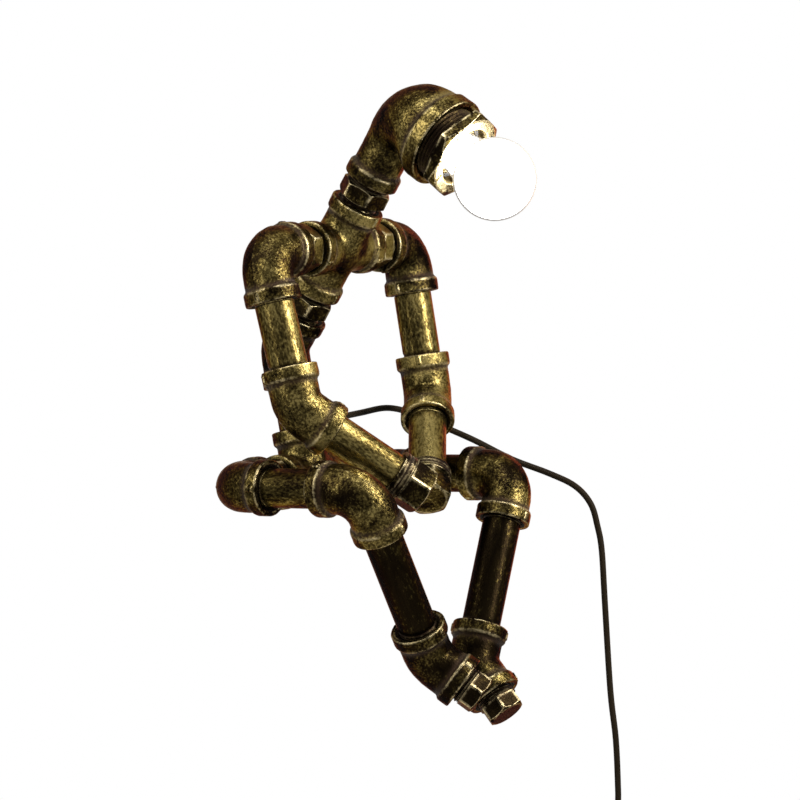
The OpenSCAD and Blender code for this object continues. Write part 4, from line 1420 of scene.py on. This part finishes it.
@dataclass
class Arm:
    """Shoulder elbow, upper arm, arm elbow, forearm and hand cap of one side."""

    side: Side
    finishes: Finishes
    sizes: Sizes = S

    def cap(self) -> Grid:
        """The hand cap: two rings with a groove between them, then a hexagon with its end turned down."""
        s = self.sizes
        half, top, drop = bevelled(s.hand_af)
        r, mid, hexed = s.ring_r, s.ring_len / 2, s.ring_len + s.hand_hex
        corners = [
            Corner(4.4 + s.ring_len, 0.0, step=3),
            Corner(4.4 + s.ring_len, s.socket_r, 0.3, step=3),
            Corner(1.0, s.socket_r, 0.2, step=0.5),
            Corner(0, s.socket_r + 1.1, 0.4, step=0.4),
            Corner(0, r, 0.9, step=0.5),
            Corner(mid - 0.7, r, 0.5, step=0.5),
            Corner(mid, r - 0.9, 0.4, step=0.3),
            Corner(mid + 0.7, r, 0.5, step=0.5),
            Corner(s.ring_len, r, 0.8, step=0.5),
            Corner(s.ring_len, half - 0.5, 0.2, step=0.4),
            Corner(s.ring_len + 0.1, top, 0.1, half, step=1.0),
            Corner(hexed - drop, top, 0.0, half, step=0.35),
            Corner(hexed, half - HEX_EDGE, 0.3, half, step=0.9),
            Corner(hexed, 0.0, step=1),
        ]
        return swept(rounded(corners, closed=False), even(96), rough=0.06, seed=8, closed=False)

    def build(self) -> None:
        """Builds and dresses the pieces."""
        s, f, st, side, word = self.sizes, self.finishes, STANCE, self.side, self.side.word
        arm, fore = word + "_arm", word + "_forearm"
        # The gild values below add gold and paint light on the arms.
        elbow = Elbow(s, s.reach_90, 90).grid(31 + side.value)
        spot = st.arm(side) @ side.mirror @ turn(1, -90)
        fit(elbow, spot, word + "_shoulder_cast", f.casting, arm, word + "_shoulder_elbow")
        pipe = Pipe(s, s.upper_arm - s.reach_90 - s.reach_45 + 2 * s.engaged).grid()
        spot = st.arm(side) @ shift(0, 0, s.reach_90 - s.engaged)
        fit(pipe, spot, word + "_upper_arm_pipe", f.pipe, arm, word + "_upper_arm", gold_and_painted_light=0.25)
        elbow = Elbow(s, s.reach_45, 45).grid(34 + side.value)
        spot = st.arm_elbow(side) @ turn(2, 90)
        fit(elbow, spot, word + "_arm_elbow_cast", f.casting, fore, word + "_arm_elbow", gold_and_painted_light=0.45)
        pipe = Pipe(s, s.forearm - s.reach_45 + s.engaged + s.ring_len + 4, False).grid()
        spot = st.forearm(side) @ shift(0, 0, s.reach_45 - s.engaged)
        fit(pipe, spot, word + "_forearm_pipe", f.pipe, fore, word + "_forearm", gold_and_painted_light=0.4)
        spot = st.forearm(side) @ shift(0, 0, s.forearm)
        fit(self.cap(), spot, word + "_hand_hex", f.nipple, fore, word + "_hand_cap", crease=30)


@dataclass
class Leg:
    """Hip elbow, thigh, knee elbow, shin, ankle elbow and foot plug of one side."""

    side: Side
    finishes: Finishes
    sizes: Sizes = S

    def plug(self) -> Grid:
        """The foot plug: a threaded shank and a hexagon with its end turned down."""
        s = self.sizes
        half, top, drop = bevelled(s.plug_af)
        low = s.engaged + s.plug_seen
        high = low + s.plug_hex
        corners = [
            Corner(s.engaged - 1, 0.0, step=3),
            Corner(s.engaged - 1, s.bore_r - 1.5, step=3),
            Corner(0, s.bore_r - 1.5, 0.2, step=1),
            Corner(0, s.pipe_r - 1.3, 0.2, step=2),
            Corner(1.2, s.pipe_r - 0.1, step=3),
            Corner(s.engaged - 2, s.pipe_r, thread=1.1, step=0.25),
            Corner(low - 0.3, s.pipe_r, 0.3, thread=0.8, step=0.25),
            Corner(low, half - 0.4, 0.2, step=0.4),
            Corner(low + 0.1, top, 0.1, half, step=1.0),
            Corner(high - drop, top, 0.0, half, step=0.3),
            Corner(high, half - HEX_EDGE, 0.3, half, step=0.9),
            Corner(high, 0.0, step=1),
        ]
        return swept(rounded(corners, closed=False), even(96), rough=0.06, seed=9, closed=False)

    def build(self) -> None:
        """Builds and dresses the pieces."""
        s, f, st, side, word = self.sizes, self.finishes, STANCE, self.side, self.side.word
        shin, foot = word + "_shin", word + "_foot"
        # The gild values below take gold away and paint shade down the legs, with the shins and feet darkest.
        elbow = Elbow(s, s.reach_90, 90).grid(41 + side.value)
        spot = st.leg(side) @ side.mirror @ turn(1, -90)
        fit(elbow, spot, word + "_hip_cast", f.casting, "torso", word + "_hip_elbow", gold_and_painted_light=-0.1)
        pipe = Pipe(s, s.thigh - 2 * s.reach_90 + 2 * s.engaged).grid()
        spot = st.leg(side) @ shift(0, 0, s.reach_90 - s.engaged)
        fit(pipe, spot, word + "_thigh_pipe", f.pipe, "torso", word + "_thigh", gold_and_painted_light=-0.1)
        elbow = Elbow(s, s.reach_90, 90).grid(44 + side.value)
        spot = st.knee(side) @ turn(2, -90)
        fit(elbow, spot, word + "_knee_cast", f.casting, shin, word + "_knee_elbow", gold_and_painted_light=-0.1)
        pipe = Pipe(s, s.shin - s.reach_90 - s.reach_45 + 2 * s.engaged).grid()
        spot = st.shin(side) @ shift(0, 0, s.reach_90 - s.engaged)
        fit(pipe, spot, word + "_shin_pipe", f.pipe, shin, word + "_shin", gold_and_painted_light=-0.7)
        elbow = Elbow(s, s.reach_45, 45).grid(47 + side.value)
        spot = st.ankle(side) @ turn(2, 90)
        fit(elbow, spot, word + "_ankle_cast", f.casting, foot, word + "_ankle_elbow", gold_and_painted_light=-0.35)
        spot = st.foot(side) @ shift(0, 0, s.reach_45 - s.engaged)
        fit(self.plug(), spot, word + "_foot_hex", f.nipple, foot, word + "_foot_plug", crease=30, gold_and_painted_light=-0.9)


# ---------- cord, switch and plug ----------


@dataclass
class MainsCord:
    """The cord: out of the lower spine, over the seat's edge, down through the switch and its coil."""

    finishes: Finishes
    diameter: float = 3.6
    length: float = 1740.0
    hang: tuple[float, float] = (140.0, -117.0)
    switch_top: float = -178.0
    switch_len: float = 58.0
    coil_r: float = 20.0
    bundle_r: float = 7.2
    front_turn: float = -50.0
    plug_len: float = 30.0
    relief_len: float = 20.0
    outlet_at: tuple[float, float, float] = (0.0, 6.965, 48.018)
    route: tuple[tuple[float, float, float], ...] = (
        (10.65, 6.965, 48.018), (20, 6.965, 48.02), (30.65, 6.965, 48.02), (45, 8, 48.5), (62, 7, 50),
        (83, 4, 52), (98, -2, 49), (110, -13, 42), (119, -32, 33), (126, -54, 22), (132, -76, 14),
        (136, -91, 7), (138.5, -100, -3), (139.5, -104, -16), (140, -106.5, -30), (140, -108.5, -60),
        (140, -112, -110), (140, -115.6, -138), (140, -117, -166), (140, -117, -175),
        (140, -117, -188), (140, -117, -212), (140, -117, -236), (140, -117, -244),
    )
    strands: tuple[tuple[float, float], ...] = (
        (4.7, -1.8), (1.58, -3.6), (-1.54, -5.4), (-1.54, -1.8), (-4.66, -3.6), (-4.66, 0.0),
        (-1.54, 1.8), (-1.54, 5.4), (1.58, 3.6), (1.58, 0.0), (4.7, 1.8),
    )

    @property
    def facing(self) -> tuple[Array, Array]:
        """The coil's level direction across its front, and its axis."""
        angle = math.radians(self.front_turn)
        c, s = math.cos(angle), math.sin(angle)
        return np.array([c, s, 0]), np.array([-s, c, 0])

    @property
    def coil_mid(self) -> float:
        """Height of the coil's centre."""
        return self.switch_top - self.switch_len - 6 - self.coil_r - self.bundle_r

    @property
    def plug_top(self) -> float:
        """Height of the top of the plug's relief."""
        return self.coil_mid - self.coil_r - self.bundle_r - 4

    def path(self) -> Array:
        """Centre line, (n, 3) in millimetres.

        The route is a Catmull-Rom curve. In the coil the line turns clockwise round the ring, and its
        place in the bundle moves by one strand in each turn with a smooth step.
        """
        knots = np.array(self.route)
        ends = np.vstack([2 * knots[0] - knots[1], knots, 2 * knots[-1] - knots[-2]])
        a, b, c, d = (ends[k : len(ends) - 3 + k, None] for k in range(4))
        u = (np.arange(6) / 6)[None, :, None]
        square, cube = 2 * a - 5 * b + 4 * c - d, 3 * b - a - 3 * c + d
        upper = (0.5 * (2 * b + (c - a) * u + square * u**2 + cube * u**3)).reshape(-1, 3)
        side, axis = self.facing
        upright = np.array([0, 0, 1])
        strands = np.array(self.strands)
        line = np.array([*self.hang, 0.0])
        lead = np.linspace(self.switch_top - self.switch_len - 8, self.coil_mid, 10)
        ease = smooth(np.clip((lead[0] - lead) / (lead[0] - lead[-1]), 0, 1))
        down = line + lead[:, None] * upright + (ease * strands[0, 1])[:, None] * axis
        turns = len(strands) - 1
        t = np.linspace(0, turns, turns * 44 + 1)[1:-1]
        step = smooth(np.clip((t % 1 - 0.5) / 0.35, 0, 1))
        low = np.minimum(t.astype(int), turns - 1)
        place = strands[low] + step[:, None] * (strands[low + 1] - strands[low])
        centre = line - (self.coil_r + strands[0, 0]) * side + self.coil_mid * upright
        radius = (self.coil_r + place[:, 0])[:, None]
        ring = centre + radius * (np.cos(TAU * t)[:, None] * side - np.sin(TAU * t)[:, None] * upright)
        ring = ring + place[:, 1:] * axis
        tail = np.linspace(self.coil_mid, self.plug_top - 10, 14)
        ease = 1 - smooth(np.clip((tail[0] - tail) / 24, 0, 1))
        out = line + tail[:, None] * upright + (ease * strands[-1, 1])[:, None] * axis
        return np.concatenate([upper, down, ring, out])

    def tube(self, path: Array) -> Grid:
        """Round sheath: point = path + r * (cos v * a + sin v * b), a and b square to the path."""
        tangent = np.gradient(path, axis=0)
        tangent /= np.linalg.norm(tangent, axis=1)[:, None]
        a = np.cross(tangent, self.facing[1])
        a /= np.linalg.norm(a, axis=1)[:, None]
        b = np.cross(tangent, a)
        v = even(14)
        r = np.full(len(path), self.diameter / 2)
        r = np.concatenate([[0.0], r, [0.0]])
        path = np.concatenate([path[:1], path, path[-1:]])
        a, b = (np.concatenate([w[:1], w, w[-1:]]) for w in (a, b))
        ray = np.cos(v)[None, :, None] * a[:, None] + np.sin(v)[None, :, None] * b[:, None]
        points = path[:, None] + r[:, None, None] * ray
        gone = np.concatenate([[0], np.cumsum(np.linalg.norm(np.diff(path, axis=0), axis=1))])
        flow = np.stack([r[:, None] * np.cos(v), r[:, None] * np.sin(v), gone[:, None] + 0 * v], -1)
        none = np.zeros(points.shape[:2])
        return Grid(points, none, none, flow, wrap_rows=False)

    def outlet(self) -> Grid:
        """The bush and its ribbed relief, along +Z from the spine's axis."""
        corners = [Corner(8.5, 3.1, 0.2, step=2), Corner(10.7, 3.1, 0.1, step=1)]
        corners += [Corner(10.75, 4.3, 0.3, step=0.3)]
        corners += [Corner(12.4, 4.3, 0.4, step=0.4), Corner(12.7, 3.75, 0.2, step=0.4)]
        for z in np.arange(14.2, 29.5, 2.2):
            r = 3.75 - (z - 12.7) * 0.067
            corners += [Corner(z, r, 0.25, step=0.5), Corner(z + 0.15, r - 0.55, 0.15)]
            corners += [Corner(z + 0.75, r - 0.55, 0.15), Corner(z + 0.9, r - 0.06, 0.25, step=0.5)]
        corners += [Corner(32.6, 2.5, 0.4, step=0.5), Corner(32.65, 1.82, 0.1, step=0.5)]
        corners += [Corner(8.5, 1.82, step=3)]
        return swept(rounded(corners), even(40))

    def plug(self) -> Grid:
        """The plug: a ribbed round relief that swells into a moulded body with finger dips.

        Each row is a superellipse |x/w|^n + |y/t|^n = 1 with w, t and n eased along the plug.
        """
        rows: list[tuple[float, float, float, float]] = [(0.0, 0.0, 0.0, 2.0), (0.0, 2.6, 2.6, 2.0)]
        for z in np.arange(0.6, 19.6, 0.3):
            swell = 0.5 - 0.5 * math.cos(math.pi * min(1.0, z / self.relief_len))
            r = 2.8 + 3.2 * swell - (0.5 if (z % 2.6) < 0.9 and 1.2 < z < 16 else 0.0)
            rows.append((-z, r, r, 2.0))
        for u in np.linspace(0, 1, 40):
            z = self.relief_len + u * self.plug_len
            ease = smooth(min(1.0, u / 0.22))
            grip = 1.3 * math.exp(-(((u - 0.45) / 0.2) ** 2))
            rows.append((-z, 6 + (13 - 6) * ease - grip, 6 + (8 - 6) * ease - 0.3 * grip, 2 + 2.2 * ease))
        end = -self.relief_len - self.plug_len
        rows += [(end, 12.4, 7.4, 4.2), (end, 11.2, 6.4, 4.0), (end, 0.0, 0.0, 4.0)]
        z, w, t, n = (np.array(c)[:, None] for c in zip(*rows))
        v = even(80)[None]
        c, s = np.cos(v), np.sin(v)
        scale = (np.abs(c) ** n + np.abs(s) ** n) ** (-1 / n)
        points = np.stack([w * c * scale, t * s * scale, z + 0 * c], -1)
        worn = np.zeros(points.shape[:2])
        return Grid(points, worn, worn, points, wrap_rows=False)

    def build(self) -> None:
        f = self.finishes
        path = self.path()
        solids = ("cord", "cord_lower", "cord_coil", "cord_tail")
        sheath = fit(self.tube(path), None, "mains_cord", f.sheath, "torso", *solids, crease=80)
        spot = shift(*self.outlet_at) @ turn(1, 90)
        outlet = fit(self.outlet(), spot, "cord_outlet_relief", f.outlet, "torso", "cord_outlet", crease=50)
        spot = shift(*self.hang, self.plug_top) @ turn(2, self.front_turn)
        plug = fit(self.plug(), spot, "mains_plug", f.moulded, "torso", "plug_body", crease=50)
        repaint(f.moulded, "switch_cover", "switch_base")
        repaint(f.rocker, "switch_rocker")
        repaint(f.screw, "switch_screws")
        repaint(f.outlet, "coil_tie")
        repaint(f.blade, "plug_blades")
        repaint(f.sheath, "spine_lead", "head_lead")
        length = float(np.linalg.norm(np.diff(path, axis=0), axis=1).sum()) * MM
        LOG.info("cord: %.3f m", length)


# ---------- studio ----------


def outward(azimuth: float, elevation: float) -> Array:
    az, el = math.radians(azimuth), math.radians(elevation)
    return np.array([math.sin(az) * math.cos(el), -math.cos(az) * math.cos(el), math.sin(el)])


@dataclass(frozen=True)
class Softbox:
    """An area lamp that looks at the lamp's chest."""

    name: str
    azimuth: float
    elevation: float
    distance: float
    width: float
    height: float
    watts: float
    colour: Colour = (1.0, 1.0, 1.0)

    def build(self, target: Array) -> None:
        """Puts the lamp on a sphere round the target."""
        way = outward(self.azimuth, self.elevation)
        data = bpy.data.lights.new(self.name, "AREA")
        data.shape, data.size, data.size_y = "RECTANGLE", self.width, self.height
        data.energy, data.color = self.watts, self.colour
        lamp = bpy.data.objects.new(self.name, data)
        bpy.context.scene.collection.objects.link(lamp)
        lamp.location = tuple(target + way * self.distance)
        lamp.rotation_euler = tuple(look(-way))


def look(way: Array) -> tuple[float, float, float]:
    """Euler angles that turn an object's -Z towards `way`, its +Y upwards."""
    return tuple(Vector(way).to_track_quat("-Z", "Y").to_euler())


@dataclass
class Studio:
    """Camera, lamps, backdrop light and floor."""

    azimuth: float = -55.4549
    elevation: float = 2.36068
    roll: float = -0.268
    distance: float = 1.8992506
    lens: float = 153.441
    aside: float = 0.05154
    above: float = 0.04439
    floor_z: float = -0.3674
    floor_r: float = 0.72

    def camera(self) -> None:
        """Camera at the robot's right front, almost level and slightly rolled."""
        az, roll = math.radians(self.azimuth), math.radians(self.roll)
        back = outward(self.azimuth, self.elevation)
        right = np.array([math.cos(az), math.sin(az), 0.0])
        up = np.cross(back, right)
        side = right * math.cos(roll) + up * math.sin(roll)
        top = up * math.cos(roll) - right * math.sin(roll)
        spot = np.array([0, 0, S.band_r * MM]) + back * self.distance + side * self.aside + top * self.above
        data = bpy.data.cameras.new("camera")
        data.lens, data.sensor_width, data.clip_end = self.lens, 36.0, 20.0
        camera = bpy.data.objects.new("camera", data)
        bpy.context.scene.collection.objects.link(camera)
        place = np.eye(4)
        place[:3, 0], place[:3, 1], place[:3, 2], place[:3, 3] = side, top, back, spot
        camera.matrix_world = Matrix(place.tolist())
        bpy.context.scene.camera = camera

    def world(self) -> None:
        """White to the camera and in reflections, a soft grey as light."""
        world = bpy.data.worlds.new("studio")
        bpy.context.scene.world = world
        world.use_nodes = True
        tree = world.node_tree
        tree.nodes.clear()
        path = tree.nodes.new("ShaderNodeLightPath")
        seen = path.outputs["Is Camera Ray"]
        for name in ("Is Glossy Ray", "Is Transmission Ray"):
            either = tree.nodes.new("ShaderNodeMath")
            either.operation = "MAXIMUM"
            tree.links.new(seen, either.inputs[0])
            tree.links.new(path.outputs[name], either.inputs[1])
            seen = either.outputs[0]
        soft, white = (tree.nodes.new("ShaderNodeBackground") for _ in range(2))
        for shade, colour, strength in ((soft, (0.90, 0.90, 0.92, 1), 0.22), (white, (1, 1, 1, 1), 1.0)):
            shade.inputs["Color"].default_value = colour
            shade.inputs["Strength"].default_value = strength
        mix = tree.nodes.new("ShaderNodeMixShader")
        out = tree.nodes.new("ShaderNodeOutputWorld")
        tree.links.new(seen, mix.inputs[0])
        tree.links.new(soft.outputs[0], mix.inputs[1])
        tree.links.new(white.outputs[0], mix.inputs[2])
        tree.links.new(mix.outputs[0], out.inputs[0])

    def floor(self) -> None:
        """A round pale floor under the plug, a grid of rings and spokes with a faint grain, that fades
        into the white background towards its edge."""
        rings, spokes = np.linspace(0, self.floor_r / MM, 24)[:, None], even(96)[None]
        level = 0 * rings * spokes + self.floor_z / MM
        points = np.stack([rings * np.cos(spokes) + 20, rings * np.sin(spokes) - 30, level], -1)
        none = np.zeros(points.shape[:2])
        floor = Skin().add(Grid(points, none, none, points, wrap_rows=False)).build("studio_floor")
        n = Nodes("studio_floor_paint")
        grain = n.noise(n.place(), 300, 3)
        base = n.mix(n.level(grain, 0.4, 0.6), (0.90, 0.895, 0.885), (0.93, 0.925, 0.915))
        paint = n.add("BsdfPrincipled", Base_Color=base, Roughness=0.75)
        reach = n.add("VectorMath", operation="LENGTH")
        n.tree.links.new(n.place(), reach.inputs[0])
        path = n.add("LightPath")
        seen = n.math("MAXIMUM", path.outputs["Is Camera Ray"], path.outputs["Is Glossy Ray"])
        far = n.level(reach.outputs["Value"], 0.46, 0.78)
        blend = n.add("MixShader", Fac=n.math("MULTIPLY", far, seen))
        n.tree.links.new(paint.outputs[0], blend.inputs[1])
        n.tree.links.new(n.add("Emission", Color=(1, 1, 1, 1), Strength=1.0).outputs[0], blend.inputs[2])
        floor.data.materials.append(n.finish(blend))

    def build(self) -> None:
        """Sets the view, the world, the floor and the lamps."""
        bpy.context.scene.view_settings.view_transform = "Standard"
        self.world()
        self.floor()
        target = np.array([0.02, -0.03, 0.12])
        for lamp in (
            Softbox("key", 8, 22, 0.65, 0.14, 0.5, 11, (1.0, 0.95, 0.88)),
            Softbox("fill", -106, 30, 0.9, 0.5, 0.6, 7.5, (1.0, 0.95, 0.84)),
            Softbox("strip", -103, -10, 0.9, 0.06, 0.35, 1.2, (1.0, 0.95, 0.84)),
            Softbox("rim", 96, 6, 1.2, 0.40, 1.0, 4.5, (1.0, 0.50, 0.22)),
            Softbox("top", -70, 70, 0.8, 0.4, 0.4, 6),
        ):
            lamp.build(target)


def main() -> None:
    """Builds the dressed lamp piece by piece."""
    logging.basicConfig(level=logging.INFO, format="%(name)s: %(message)s")
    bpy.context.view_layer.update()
    studio = Studio()
    studio.camera()
    finishes = Finishes()
    MainsCord(finishes).build()
    Spine(finishes).build()
    Head(finishes).build()
    for side in Side:
        Arm(side, finishes).build()
        Leg(side, finishes).build()
    studio.build()


if __name__ == "__main__":
    main()
